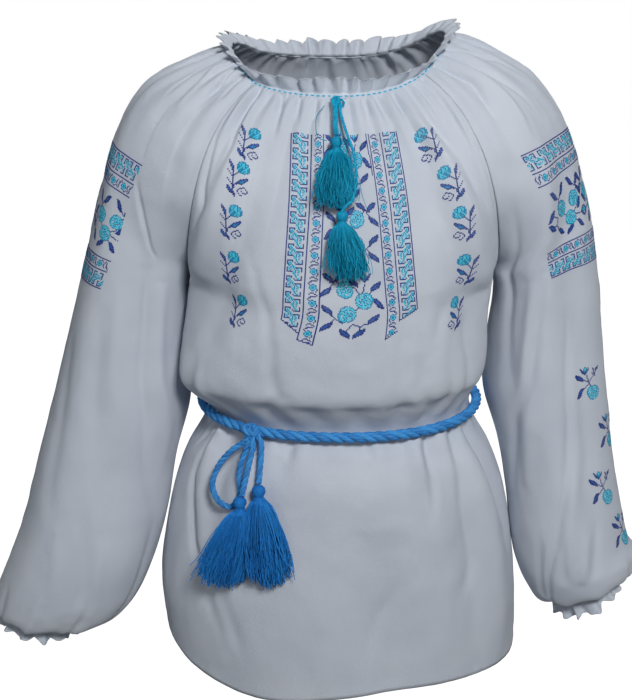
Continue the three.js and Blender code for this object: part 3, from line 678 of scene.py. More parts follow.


# Spun thread: fine lines that run with the attributes along and around, and a tone for each strand. The fine
# lines also darken the colour in the grooves between them: painted shade.
def fibreGroup():
    tree = bpy.data.node_groups.new("spunFibre", "ShaderNodeTree")
    for label, value in (("Lines", 9.0), ("Lay", 300.0)):
        socket = tree.interface.new_socket(label, in_out="INPUT", socket_type="NodeSocketFloat")
        socket.default_value = value
    for label in ("ToneAndPaintedShade", "Height"):
        tree.interface.new_socket(label, in_out="OUTPUT", socket_type="NodeSocketFloat")
    inputs, outputs = place(tree, "NodeGroupInput", -900), place(tree, "NodeGroupOutput", 600)
    link = tree.links.new
    along = place(tree, "ShaderNodeAttribute", -900, 300, attribute_name="along")
    around = place(tree, "ShaderNodeAttribute", -900, 100, attribute_name="around")
    tone = place(tree, "ShaderNodeAttribute", -900, -300, attribute_name="tone")
    turned = place(tree, "ShaderNodeMath", -650, 200, operation="MULTIPLY")
    link(along.outputs["Fac"], turned.inputs[0])
    link(inputs.outputs["Lay"], turned.inputs[1])
    phase = place(tree, "ShaderNodeMath", -450, 150, operation="MULTIPLY_ADD")
    link(around.outputs["Fac"], phase.inputs[0])
    link(inputs.outputs["Lines"], phase.inputs[1])
    link(turned.outputs[0], phase.inputs[2])
    angle = place(tree, "ShaderNodeMath", -250, 150, operation="MULTIPLY")
    angle.inputs[1].default_value = 2 * math.pi
    link(phase.outputs[0], angle.inputs[0])
    line = place(tree, "ShaderNodeMath", -50, 150, operation="SINE")
    link(angle.outputs[0], line.inputs[0])
    fuzz = place(tree, "ShaderNodeTexNoise", -250, -100)
    fuzz.inputs["Scale"].default_value = 900.0
    fuzz.inputs["Detail"].default_value = 2.0
    where = place(tree, "ShaderNodeTexCoord", -450, -100)
    link(where.outputs["Object"], fuzz.inputs["Vector"])
    height = place(tree, "ShaderNodeMath", 150, 100, operation="MULTIPLY_ADD")
    height.inputs[1].default_value = 0.35
    link(line.outputs[0], height.inputs[0])
    link(fuzz.outputs["Fac"], height.inputs[2])
    # The tone follows the same lines as the bump, so the grooves between the lines are darker: painted shade.
    shade = place(tree, "ShaderNodeMath", 150, -150, operation="MULTIPLY_ADD")
    shade.inputs[1].default_value = 0.18
    link(line.outputs[0], shade.inputs[0])
    mixed = place(tree, "ShaderNodeMath", 0, -300, operation="MULTIPLY_ADD")
    mixed.inputs[1].default_value = 0.6
    link(tone.outputs["Fac"], mixed.inputs[0])
    link(fuzz.outputs["Fac"], mixed.inputs[2])
    link(mixed.outputs[0], shade.inputs[2])
    link(shade.outputs[0], outputs.inputs["ToneAndPaintedShade"])
    link(height.outputs[0], outputs.inputs["Height"])
    return tree


crepeGrain, spunFibre = grainGroup(), fibreGroup()


def newMaterial(name, roughness, sheen):
    material = bpy.data.materials.new(name)
    material.use_nodes = True
    shader = material.node_tree.nodes["Principled BSDF"]
    shader.inputs["Roughness"].default_value = roughness
    shader.inputs["Sheen Weight"].default_value = sheen
    shader.inputs["Specular IOR Level"].default_value = 0.25
    return material, material.node_tree, shader


def bumpInto(tree, shader, height, distance, strength):
    bump = place(tree, "ShaderNodeBump", -250, -300)
    bump.inputs["Strength"].default_value = strength
    bump.inputs["Distance"].default_value = distance
    tree.links.new(height, bump.inputs["Height"])
    tree.links.new(bump.outputs["Normal"], shader.inputs["Normal"])


def rampInto(tree, shader, factor, low, high, fromTone, toTone):
    ramp = place(tree, "ShaderNodeValToRGB", -350, 100)
    ends = ramp.color_ramp.elements
    ends[0].position, ends[0].color = fromTone, (*low, 1)
    ends[1].position, ends[1].color = toTone, (*high, 1)
    tree.links.new(factor, ramp.inputs["Fac"])
    tree.links.new(ramp.outputs["Color"], shader.inputs["Base Color"])


def crepeMaterial(name, pebble):
    look = finish["crepe"]
    material, tree, shader = newMaterial(name, look["roughness"], 0.12)
    grain = place(tree, "ShaderNodeGroup", -650, 0, node_tree=crepeGrain)
    grain.inputs["Pebble Size"].default_value = pebble
    # The ramp lays painted shade into the grain's hollows, and a darker tone at random in its blotches.
    rampInto(tree, shader, grain.outputs["ToneAndPaintedShade"], look["shade"], look["colour"], 0.35, 0.85)
    bumpInto(tree, shader, grain.outputs["Height"], 0.5 * mm, 0.9)
    return material


def yarnMaterial(name, look, lines, lay):
    material, tree, shader = newMaterial(name, look["roughness"], 0.2)
    shader.inputs["Sheen Tint"].default_value = (*look["colour"], 1)
    fibre = place(tree, "ShaderNodeGroup", -650, 0, node_tree=spunFibre)
    fibre.inputs["Lines"].default_value = lines
    fibre.inputs["Lay"].default_value = lay
    # The ramp lays painted shade into the fibres' grooves, and a darker tone at random for plies and strands.
    rampInto(tree, shader, fibre.outputs["ToneAndPaintedShade"], look["shade"], look["colour"], 0.2, 0.9)
    bumpInto(tree, shader, fibre.outputs["Height"], 0.2 * mm, 0.6)
    return material


def stitchMaterial():  # one material for every thread colour, told apart by the attribute thread
    material, tree, shader = newMaterial("crossStitchThread", 0.5, 0.15)
    thread = place(tree, "ShaderNodeAttribute", -900, 100, attribute_name="thread")
    ramp = place(tree, "ShaderNodeValToRGB", -650, 100)
    ramp.color_ramp.interpolation = "CONSTANT"
    while len(ramp.color_ramp.elements) < len(threadOrder):
        ramp.color_ramp.elements.new(0.9)
    for k, letter in enumerate(threadOrder):
        element = ramp.color_ramp.elements[k]
        element.position = k / len(threadOrder)
        element.color = (*threadColours[letter], 1)
    tree.links.new(thread.outputs["Fac"], ramp.inputs["Fac"])
    tree.links.new(ramp.outputs["Color"], shader.inputs["Base Color"])
    where = place(tree, "ShaderNodeTexCoord", -900, -300)
    twist = place(tree, "ShaderNodeTexNoise", -650, -300)
    twist.inputs["Scale"].default_value = 2600.0
    tree.links.new(where.outputs["Object"], twist.inputs["Vector"])
    bumpInto(tree, shader, twist.outputs["Fac"], 0.1 * mm, 0.5)
    return material


crepe = crepeMaterial("crepe", 1.0)
frillCrepe = crepeMaterial("frillCrepe", 0.8)
ropeYarn = yarnMaterial("blueRopeYarn", finish["rope"], 5.0, 160.0)
tasselYarn = yarnMaterial("blueTasselYarn", finish["tassel"], 2.0, 400.0)
drawstringYarn = yarnMaterial("turquoiseYarn", finish["drawstring"], 4.0, 260.0)
crossStitchThread = stitchMaterial()
print("finishes made")


def newTree(name, inputs):
    tree = bpy.data.node_groups.new(name, "GeometryNodeTree")
    tree.interface.new_socket("Geometry", in_out="INPUT", socket_type="NodeSocketGeometry")
    for label, kind, value in inputs:
        socket = tree.interface.new_socket(label, in_out="INPUT", socket_type="NodeSocket" + kind)
        if value is not None:
            socket.default_value = value
    tree.interface.new_socket("Geometry", in_out="OUTPUT", socket_type="NodeSocketGeometry")
    return tree, place(tree, "NodeGroupInput", -1400), place(tree, "NodeGroupOutput", 1400)


# A mesh of points and edges put through a tree, as a new object that is a plain mesh.
def runTree(name, points, edges, attributes, tree, values):
    mesh = bpy.data.meshes.new(name + "_source")
    mesh.from_pydata([tuple(p) for p in np.asarray(points, float) * mm], edges, [])
    for label, data in attributes.items():
        data = np.asarray(data, np.float32)
        kind = "FLOAT_VECTOR" if data.ndim == 2 else "FLOAT"
        attribute = mesh.attributes.new(label, kind, "POINT")
        attribute.data.foreach_set("vector" if data.ndim == 2 else "value", data.ravel())
    source = newObject(name + "_source", mesh)
    modifier = source.modifiers.new("nodes", "NODES")
    modifier.node_group = tree
    for item in tree.interface.items_tree:
        if item.in_out == "INPUT" and item.name in values:
            modifier[item.identifier] = values[item.name]
    graph = bpy.context.evaluated_depsgraph_get()
    made = bpy.data.meshes.new_from_object(
        source.evaluated_get(graph), preserve_all_data_layers=True, depsgraph=graph
    )
    source.modifiers.remove(modifier)
    bpy.data.objects.remove(source)
    made.name = name
    made.shade_smooth()
    return newObject(name, made)


def mathNode(tree, operation, x, y, *values):
    node = place(tree, "ShaderNodeMath", x, y, operation=operation)
    for k, value in enumerate(values):
        if hasattr(value, "is_output"):
            tree.links.new(value, node.inputs[k])
        else:
            node.inputs[k].default_value = value
    return node.outputs[0]


def vectorNode(tree, operation, x, y, *values):
    node = place(tree, "ShaderNodeVectorMath", x, y, operation=operation)
    slots = [node.inputs[0], node.inputs["Scale"]] if operation == "SCALE" else node.inputs
    for slot, value in zip(slots, values):
        if hasattr(value, "is_output"):
            tree.links.new(value, slot)
        else:
            slot.default_value = value
    return node.outputs["Vector"]


def namedInput(tree, label, kind, x, y):
    node = place(tree, "GeometryNodeInputNamedAttribute", x, y, data_type=kind)
    node.inputs["Name"].default_value = label
    return node.outputs["Attribute"]


def finishTree(tree, outputs, geometry, material):
    realize = place(tree, "GeometryNodeRealizeInstances", 1000)
    paint = place(tree, "GeometryNodeSetMaterial", 1200)
    tree.links.new(geometry, realize.inputs["Geometry"])
    tree.links.new(realize.outputs[0], paint.inputs["Geometry"])
    tree.links.new(material, paint.inputs["Material"])
    tree.links.new(paint.outputs[0], outputs.inputs[0])


# A strand of a radius along every curve, with the attribute around on its skin.
def sweepTree(tree, curve, radius, sides, x):
    ring = place(tree, "GeometryNodeCurvePrimitiveCircle", x, -300)
    tree.links.new(sides, ring.inputs["Resolution"])
    tree.links.new(radius, ring.inputs["Radius"])
    order = place(tree, "GeometryNodeInputIndex", x, -600)
    share = mathNode(tree, "DIVIDE", x + 150, -600, order.outputs[0], sides)
    mark = place(tree, "GeometryNodeStoreNamedAttribute", x + 200, -300, data_type="FLOAT")
    mark.inputs["Name"].default_value = "around"
    tree.links.new(ring.outputs["Curve"], mark.inputs["Geometry"])
    tree.links.new(share, mark.inputs["Value"])
    sweep = place(tree, "GeometryNodeCurveToMesh", x + 400)
    sweep.inputs["Fill Caps"].default_value = True
    tree.links.new(curve, sweep.inputs["Curve"])
    tree.links.new(mark.outputs[0], sweep.inputs["Profile Curve"])
    return sweep.outputs[0]


# Plies laid up round a line into a rope, or plaited when Plait is 1. The line carries the attributes
# along, in metres, and side, a direction square to it.
def layTree():
    tree, inputs, outputs = newTree(
        "laidRope",
        [("Plies", "Int", 3), ("Ply Radius", "Float", 0.003), ("Lay Radius", "Float", 0.003),
         ("Turns Per Metre", "Float", 40.0), ("Plait", "Float", 0.0), ("Sides", "Int", 10),
         ("Material", "Material", None)],
    )
    value, link = inputs.outputs, tree.links.new
    line = place(tree, "GeometryNodeMeshToCurve", -1200)
    link(value["Geometry"], line.inputs["Mesh"])
    copies = place(tree, "GeometryNodeDuplicateElements", -1000, domain="SPLINE")
    link(line.outputs[0], copies.inputs["Geometry"])
    link(value["Plies"], copies.inputs["Amount"])
    along = namedInput(tree, "along", "FLOAT", -1200, -400)
    side = namedInput(tree, "side", "FLOAT_VECTOR", -1200, -600)
    share = mathNode(tree, "DIVIDE", -800, -200, copies.outputs["Duplicate Index"], value["Plies"])
    turns = mathNode(tree, "MULTIPLY_ADD", -800, -400, along, value["Turns Per Metre"], share)
    angle = mathNode(tree, "MULTIPLY", -600, -400, turns, 2 * math.pi)
    tangent = place(tree, "GeometryNodeInputTangent", -1000, -800).outputs[0]
    other = vectorNode(tree, "CROSS_PRODUCT", -800, -700, tangent, side)
    once = mathNode(tree, "SINE", -400, -500, angle)
    twice = mathNode(tree, "SINE", -400, -700, mathNode(tree, "MULTIPLY", -500, -700, angle, 2.0))
    wide = mathNode(tree, "COSINE", -400, -300, angle)
    flat = mathNode(tree, "MULTIPLY", -250, -700, twice, 0.55)
    mixed = place(tree, "ShaderNodeMix", -100, -600, data_type="FLOAT")
    link(value["Plait"], mixed.inputs["Factor"])
    link(once, mixed.inputs["A"])
    link(flat, mixed.inputs["B"])
    outX = vectorNode(tree, "SCALE", 50, -300, side, wide)
    outY = vectorNode(tree, "SCALE", 50, -600, other, mixed.outputs["Result"])
    out = vectorNode(tree, "ADD", 200, -400, outX, outY)
    offset = vectorNode(tree, "SCALE", 400, -400, out, value["Lay Radius"])
    move = place(tree, "GeometryNodeSetPosition", 400)
    link(copies.outputs["Geometry"], move.inputs["Geometry"])
    link(offset, move.inputs["Offset"])
    tone = place(tree, "GeometryNodeStoreNamedAttribute", 500, 0, data_type="FLOAT")
    tone.inputs["Name"].default_value = "tone"
    link(move.outputs[0], tone.inputs["Geometry"])
    link(share, tone.inputs["Value"])
    skin = sweepTree(tree, tone.outputs[0], value["Ply Radius"], value["Sides"], 600)
    finishTree(tree, outputs, skin, value["Material"])
    return tree


goldenAngle = 2.39996  # radians


# Strands that hang from a tassel's head and fan out to its foot. The line carries down, 0 at the head
# and 1 at the foot.
def fringeTree():
    tree, inputs, outputs = newTree(
        "fringe",
        [("Strands", "Int", 300), ("Strand Radius", "Float", 0.0005), ("Root", "Float", 0.005),
         ("Spread", "Float", 0.02), ("Depth", "Float", 0.008), ("Belly", "Float", 0.002),
         ("Curl", "Float", 0.0012), ("Uneven", "Float", 0.012), ("Wisps", "Float", 0.01),
         ("Seed", "Int", 3), ("Material", "Material", None)],
    )
    value, link = inputs.outputs, tree.links.new
    line = place(tree, "GeometryNodeMeshToCurve", -1200)
    link(value["Geometry"], line.inputs["Mesh"])
    copies = place(tree, "GeometryNodeDuplicateElements", -1000, domain="SPLINE")
    link(line.outputs[0], copies.inputs["Geometry"])
    link(value["Strands"], copies.inputs["Amount"])
    own = copies.outputs["Duplicate Index"]
    down = namedInput(tree, "down", "FLOAT", -1200, -400)

    def chance(low, high, shift, y):  # a random value of each strand's own
        node = place(tree, "FunctionNodeRandomValue", -1000, y, data_type="FLOAT")
        node.inputs[2].default_value, node.inputs[3].default_value = low, high
        link(own, node.inputs["ID"])
        link(mathNode(tree, "ADD", -1150, y, value["Seed"], float(shift)), node.inputs["Seed"])
        return node.outputs[1]

    angle = mathNode(tree, "MULTIPLY", -800, -200, own, goldenAngle)
    number = mathNode(tree, "ADD", -800, -350, own, 0.5)
    share = mathNode(tree, "DIVIDE", -650, -350, number, value["Strands"])
    out = mathNode(tree, "SQRT", -500, -350, share)
    x = mathNode(tree, "MULTIPLY", -350, -200, mathNode(tree, "COSINE", -500, -200, angle), out)
    y = mathNode(tree, "MULTIPLY", -350, -350, mathNode(tree, "SINE", -500, -250, angle), out)
    ease = mathNode(tree, "POWER", -800, -500, down, 0.5)
    arch = mathNode(tree, "SINE", -650, -600, mathNode(tree, "MULTIPLY", -800, -600, down, math.pi))
    belly = mathNode(tree, "MULTIPLY", -500, -600, arch, value["Belly"])

    def halfWidth(label, y):
        wider = mathNode(tree, "SUBTRACT", -650, y, value[label], value["Root"])
        grown = mathNode(tree, "MULTIPLY_ADD", -500, y, wider, ease, value["Root"])
        return mathNode(tree, "ADD", -350, y, grown, belly)

    fromX = mathNode(tree, "MULTIPLY", -150, -200, x, halfWidth("Spread", -800))
    fromY = mathNode(tree, "MULTIPLY", -150, -350, y, halfWidth("Depth", -950))
    pace, begin = chance(5.0, 11.0, 1, -1100), chance(0.0, 6.28, 2, -1250)
    angle = mathNode(tree, "MULTIPLY_ADD", -350, -1100, down, pace, begin)
    swing = mathNode(tree, "SINE", -250, -1100, angle)
    curl = mathNode(tree, "MULTIPLY", -250, -1200, down, value["Curl"])
    wave = mathNode(tree, "MULTIPLY", -150, -1100, swing, curl)
    stray = mathNode(tree, "POWER", -350, -1400, chance(0.0, 1.0, 3, -1400), 5.0)
    late = mathNode(tree, "MULTIPLY", -350, -1500, down, down)
    strayReach = mathNode(tree, "MULTIPLY", -250, -1450, late, value["Wisps"])
    strayReach = mathNode(tree, "MULTIPLY", -150, -1400, stray, strayReach)
    strayX = mathNode(tree, "MULTIPLY", 0, -1300, strayReach, chance(-1.0, 0.8, 4, -1600))
    strayY = mathNode(tree, "MULTIPLY", 0, -1450, strayReach, chance(-0.6, 0.3, 5, -1750))
    early = mathNode(tree, "ADD", -300, -1650, chance(-0.6, 0.9, 6, -1900), share)
    shorter = mathNode(tree, "MULTIPLY", -150, -1650, early, value["Uneven"])
    short = mathNode(tree, "MULTIPLY", 0, -1600, shorter, down)
    moveX = mathNode(tree, "ADD", 100, -400, mathNode(tree, "ADD", 50, -300, fromX, wave), strayX)
    waveY = mathNode(tree, "MULTIPLY", 50, -700, wave, 0.6)
    moveY = mathNode(tree, "ADD", 100, -600, mathNode(tree, "ADD", 50, -500, fromY, waveY), strayY)
    shift = place(tree, "ShaderNodeCombineXYZ", 250, -600)
    for label, amount in (("X", moveX), ("Y", moveY), ("Z", short)):
        link(amount, shift.inputs[label])
    move = place(tree, "GeometryNodeSetPosition", 400)
    link(copies.outputs["Geometry"], move.inputs["Geometry"])
    link(shift.outputs[0], move.inputs["Offset"])
    tone = place(tree, "GeometryNodeStoreNamedAttribute", 550, 0, data_type="FLOAT")
    tone.inputs["Name"].default_value = "tone"
    link(move.outputs[0], tone.inputs["Geometry"])
    link(chance(0.0, 1.0, 7, -2050), tone.inputs["Value"])
    three = place(tree, "FunctionNodeInputInt", 400, -300, integer=3)
    skin = sweepTree(tree, tone.outputs[0], value["Strand Radius"], three.outputs[0], 700)
    finishTree(tree, outputs, skin, value["Material"])
    return tree


# A stitch on every point, turned to the attributes normal and run, and stretched by size.
def stitchTree():
    tree, inputs, outputs = newTree("stitches", [("Stitch", "Object", None), ("Material", "Material", None)])
    value, link = inputs.outputs, tree.links.new
    stitch = place(tree, "GeometryNodeObjectInfo", -800, -300)
    link(value["Stitch"], stitch.inputs["Object"])
    turn = place(tree, "FunctionNodeAxesToRotation", -600, -500, primary_axis="Z", secondary_axis="X")
    link(namedInput(tree, "normal", "FLOAT_VECTOR", -900, -500), turn.inputs["Primary Axis"])
    link(namedInput(tree, "run", "FLOAT_VECTOR", -900, -700), turn.inputs["Secondary Axis"])
    put = place(tree, "GeometryNodeInstanceOnPoints", -200)
    link(value["Geometry"], put.inputs["Points"])
    link(stitch.outputs["Geometry"], put.inputs["Instance"])
    link(turn.outputs[0], put.inputs["Rotation"])
    link(namedInput(tree, "size", "FLOAT_VECTOR", -600, -900), put.inputs["Scale"])
    finishTree(tree, outputs, put.outputs[0], value["Material"])
    return tree


laidRope, fringe, stitches = layTree(), fringeTree(), stitchTree()
print("node trees made")

# Frills: a flat casing, then a waving ruffle with a rolled edge.
frill = {
    "neck": {
        "height": 15.5, "lean": 0.3, "sideLean": 0.8,
        "waves": 38, "swing": 4.4, "lobes": 0.32,
    },
    "cuff": {
        "height": 22, "lean": 0.3, "sideLean": 0,
        "waves": 13, "swing": 3.6, "lobes": 0.12,
    },
    "casing": 5,
    "wall": 0.8,
    "perWave": 20,
    "casingRows": 4,
    "ruffleRows": 11,
    "pucker": 0.5,  # small gathers along the casing
    "rolledEdge": 0.55,
}


def evenRing(values, at, total, count):  # values round a closed run, read at even lengths
    want = np.arange(count) / count * total
    closed = np.concatenate([values, values[:1]])
    return np.stack([np.interp(want, at, closed[:, k]) for k in range(3)], -1)


def neckEdge():
    a = (np.arange(400) + 0.5) / 200 - 1
    points, ways = [], []
    for name in ("front", "left", "back", "right"):
        start = plainPoint(name, a, 0 * a)
        points.append(start)
        ways.append(start - plainPoint(name, a, 0 * a + 0.1))
    on = np.concatenate(ways)
    return np.concatenate(points), on / np.linalg.norm(on, axis=1, keepdims=True), np.array([0, 0, 1.0])


def wristEdge(name):
    a = np.arange(-400, 400) / 400
    start = plainPoint(name, a, 0 * a + wristRow)
    rise = np.cross([0, 1.0, 0], (start[400] - start[0]) / 2)
    rise *= -np.sign(rise[2]) / np.linalg.norm(rise)
    return start, np.tile(rise, (len(a), 1)), rise


def unit(v):
    return v / np.linalg.norm(v, axis=-1, keepdims=True)


def buildFrill(node, look, edge, material):
    points, on, rise = edge
    count = look["waves"] * frill["perWave"]
    closed = np.concatenate([points, points[:1]])
    at = np.concatenate([[0], np.cumsum(np.linalg.norm(np.diff(closed, axis=0), axis=1))])
    start = evenRing(points, at, at[-1], count)
    on = unit(evenRing(on, at, at[-1], count))
    away = start - points.mean(0)
    away = unit(away - (away @ rise)[:, None] * rise)
    start = start - on * 1.2 + away * 0.5  # the casing's foot laps over the panels' edge
    up = unit(rise + away * (look["lean"] + look["sideLean"] * away[:, :1] ** 2))
    turn = np.arange(count) / count * 2 * math.pi
    drift = 0.3 * np.sin(turn * 5 + 1) + 0.22 * np.sin(turn * 11) + 0.16 * np.sin(turn * 17 + 2)
    phase = turn * look["waves"] + drift * 2  # waves of uneven length
    own = 1 + 0.22 * np.sin(turn * 7 + 2) + 0.16 * np.sin(turn * 13 + 0.5)
    swing = np.sin(phase)
    wave = np.sign(swing) * np.abs(swing) ** 0.85 * look["swing"] * own
    wave = wave * (1 - 0.45 * away[:, 0] ** 2 * (look["sideLean"] > 0))
    lobe = np.abs(np.sin(phase / 2 + 0.4)) ** 0.6
    share = 1.06 - look["lobes"] * (1 - lobe) + 0.07 * np.sin(turn * 9) + 0.05 * np.sin(turn * 19 + 1)
    high = look["height"] * share
    small = np.sin(phase * 2 + 3 * np.sin(turn * 6)) * 0.6
    rows = []
    for f in np.linspace(0, 1, frill["casingRows"] + 1):
        pucker = frill["pucker"] * np.sin(phase * 2) * (1 - 0.7 * math.sin(math.pi * f))
        bulge = 0.7 * math.sin(math.pi * f)
        out = bulge + pucker + wave * 0.25 * f**2
        rows.append(start + on * frill["casing"] * f + away * out[:, None])
    band = start + on * frill["casing"]
    for f in np.linspace(0, 1, frill["ruffleRows"] + 1)[1:]:
        out = wave * (0.25 + 0.75 * f) + small * math.sin(math.pi * f) * own
        dip = 0.7 * math.exp(-((f / 0.12) ** 2))  # the row of stitches that closes the casing
        rows.append(band + up * (high * f)[:, None] + away * (out - dip)[:, None])
    roll = frill["rolledEdge"]
    last = rows[-1]
    rows[-1] = last + away * roll
    rows.append(last + up * roll * 0.9 + away * roll * 0.2)
    rows.append(last + up * roll * 0.4 - away * roll * 0.5)
    grid = np.stack(rows)
    if rise[2] > 0:
        grid = grid[::-1]
    grid = np.concatenate([grid, grid[:, :1]], 1)
    welded = np.ones(len(grid), bool)
    mesh = shellMesh(node + "_cloth", grid, frill["wall"], welded)
    print(f"{node}_cloth: {2 * len(mesh.polygons)} triangles")
    return newObject(node + "_cloth", mesh, material), grid


def buildFrills():
    made = {"neck_frill": buildFrill("neck_frill", frill["neck"], neckEdge(), frillCrepe)}
    for name in ("left", "right"):
        node = "cuff_frill_" + name
        made[node] = buildFrill(node, frill["cuff"], wristEdge(name), frillCrepe)
    for node, (piece, _) in made.items():
        standFor(piece, node)
    return made


def buildCloth():
    pieces = {}
    for name, panel in panels.items():
        piece = buildPanel(name, crepe)
        standFor(piece, panel["node"])
        pieces[panel["node"]] = piece
    return pieces


clothPieces = buildCloth()
frills = buildFrills()
print("cloth made")

# Rope, knot, bow and drawstrings.
belt = {"diameter": 11, "lift": 2.8, "knotAcross": -0.43, "knotHalf": 0.073, "plies": 3, "turns": 30}
cords = {
    "belt_bow": {
        "diameter": 6.5, "plies": 3, "turns": 52, "plait": 0.0, "yarn": ropeYarn,
        "points": [
            (-90, -107, -387), (-97, -105, -393), (-107, -106, -400), (-121, -105, -418),
            (-127, -107, -438), (-120, -114, -452), (-107, -120, -455), (-99, -119, -443),
            (-99, -113, -420), (-92, -109, -397), (-88, -109, -388),
        ],
    },
    "belt_end_right": {
        "diameter": 6.5, "plies": 3, "turns": 52, "plait": 0.0, "yarn": ropeYarn,
        "points": [
            (-86, -108, -385), (-85, -112, -393), (-88, -118, -405), (-92, -126, -422),
            (-96, -131, -438.5),
        ],
    },
    "belt_end_left": {
        "diameter": 6.5, "plies": 3, "turns": 52, "plait": 0.0, "yarn": ropeYarn,
        "points": [
            (-81, -106, -384), (-77, -108, -391), (-77, -114, -402), (-78, -121, -415),
            (-79, -127, -426.5),
        ],
    },
    "drawstring_upper": {
        "diameter": 4, "laid": 5.2, "plies": 3, "turns": 75, "plait": 1.0, "yarn": drawstringYarn,
        "points": [(-6, -78, -55), (-4, -89, -63), (-4, -100, -74), (-3, -109, -84.5)],
    },
    "drawstring_lower": {
        "diameter": 2.8, "laid": 3.2, "plies": 3, "turns": 100, "plait": 1.0, "yarn": drawstringYarn,
        "points": [
            (0, -78, -55), (1, -92, -66), (6, -106, -82), (13, -118, -101), (15, -130, -124),
            (11, -140, -140), (3, -141, -148), (2, -141, -161),  # the last runs on through the head
        ],
    },
}


# The centripetal curve through points that the solids follow, at count + 1 even steps.
def centripetal(points, count):
    p = np.asarray(points, float)
    p = np.concatenate([[2 * p[0] - p[1]], p, [2 * p[-1] - p[-2]]])
    spans = len(p) - 3
    made = []
    for u in np.linspace(0, spans, count + 1):
        i = min(int(u), spans - 1)
        w = u - i
        a, b, c, d = p[i], p[i + 1], p[i + 2], p[i + 3]
        gaps = [max(np.linalg.norm(q - r) ** 0.5, 1e-4) for q, r in ((b, a), (c, b), (d, c))]
        m = ((b - a) / gaps[0] - (c - a) / (gaps[0] + gaps[1]) + (c - b) / gaps[1]) * gaps[1]
        n = ((c - b) / gaps[1] - (d - b) / (gaps[1] + gaps[2]) + (d - c) / gaps[2]) * gaps[1]
        made.append(b + w * m + w * w * (3 * (c - b) - 2 * m - n) + w**3 * (2 * (b - c) + m + n))
    return np.array(made)


def evenly(path, spacing):
    at = np.concatenate([[0], np.cumsum(np.linalg.norm(np.diff(path, axis=0), axis=1))])
    want = np.linspace(0, at[-1], max(2, round(at[-1] / spacing)) + 1)
    return np.stack([np.interp(want, at, path[:, k]) for k in range(3)], -1), want


# Plies laid round a path; their radii follow from the rope's laid thickness.
def layRope(name, path, diameter, plies, turns, plait, yarn, spacing=1.1, sides=10):
    path, along = evenly(path, spacing)
    tangent = unit(np.gradient(path, axis=0))
    side = np.zeros_like(path)
    side[0] = unit(np.cross(tangent[0], [0.3, 0.2, 0.93]))
    for k in range(1, len(path)):  # carried along without turning
        held = side[k - 1] - (side[k - 1] @ tangent[k]) * tangent[k]
        side[k] = held / np.linalg.norm(held)
    radius = diameter / 2 * mm
    ply = radius * (0.5 if plait else 0.53)
    edges = [(k, k + 1) for k in range(len(path) - 1)]
    return runTree(
        name, path, edges, {"along": along * mm, "side": side}, laidRope,
        {"Plies": plies, "Ply Radius": ply, "Lay Radius": radius - ply, "Turns Per Metre": float(turns),
         "Plait": float(plait), "Sides": sides, "Material": yarn},
    )


def beltPoint(face, across):
    ahead, behind = np.minimum(1, across + 0.01), np.maximum(-1, across - 0.01)
    row = 0 * across + form["beltRow"]
    along = bodyPoint(face, ahead, row) - bodyPoint(face, behind, row)
    out = unit(np.cross(along, [0, 0, -1.0])) * (1 if face == "front" else -1)
    return bodyPoint(face, across, row) - out * (belt["diameter"] / 2 + belt["lift"])


def beltPath():  # its two ends run a little way into the knot
    start, half = belt["knotAcross"], belt["knotHalf"] * 0.5
    runs = [("front", start + half, 0.94, 12), ("back", 0.94, -0.94, 17), ("front", -0.94, start - half, 7)]
    points = [beltPoint(face, np.linspace(a, b, count)) for face, a, b, count in runs]
    return centripetal(np.concatenate(points), 900)


def buildRopes():
    path = beltPath()
    rope = layRope(
        "belt_rope", path, belt["diameter"], belt["plies"], belt["turns"], 0, ropeYarn, spacing=1.6, sides=12
    )
    standFor(rope, "belt")
    made = {"belt": rope, "belt_line": path}
    for node, look in cords.items():
        line = centripetal(look["points"], 60 * (len(look["points"]) - 1))
        thick = look.get("laid", look["diameter"])
        piece = layRope(
            node + "_cord", line, thick, look["plies"], look["turns"], look["plait"], look["yarn"],
            spacing=0.8,
        )
        standFor(piece, node)
        made[node] = piece
        made[node + "_line"] = line
    return made


# One turn of a knot: two tilts in degrees, a shift, a radius and how far it swells out of its plane.
def knotLoop(tiltX, tiltY, shift, radius, swell):
    a = np.linspace(0, 2 * math.pi, 90)
    x, y, z = radius * np.cos(a), radius * np.sin(a), swell * np.sin(2 * a)
    cx, sx = math.cos(math.radians(tiltX)), math.sin(math.radians(tiltX))
    y, z = y * cx - z * sx, y * sx + z * cx
    cy, sy = math.cos(math.radians(tiltY)), math.sin(math.radians(tiltY))
    x, z = x * cy + z * sy, -x * sy + z * cy
    return np.stack([x + shift[0], y + shift[1], z + shift[2]], -1)


def joinPieces(name, pieces):  # several mesh objects as one
    with bpy.context.temp_override(
        active_object=pieces[0], object=pieces[0], selected_objects=pieces, selected_editable_objects=pieces
    ):
        bpy.ops.object.join()
    pieces[0].name = pieces[0].data.name = name
    return pieces[0]


beltKnot = {
    "shift": (0, -2.5, -2), "turns": 45, "cord": 7.6,
    "loops": [
        (4, 62, (-2.4, -0.4, -1.2), 6.2, 0.6), (-4, 116, (2.6, -0.8, -1.6), 6.2, 0.6),
        (8, 14, (0.2, -1.6, 3.0), 7.0, 0.7), (0, 88, (0, 0.6, -3.2), 4.4, 0.3),
    ],
}


def buildKnot():
    at = beltPoint("front", np.array([belt["knotAcross"]]))[0] + beltKnot["shift"]
    parts = []
    for k, loop in enumerate(beltKnot["loops"]):
        path = knotLoop(*loop) + at
        parts.append(layRope(f"knot_turn_{k}", path, beltKnot["cord"], 3, beltKnot["turns"], 0, ropeYarn))
    piece = joinPieces("belt_knot_rope", parts)
    standFor(piece, "belt_knot")


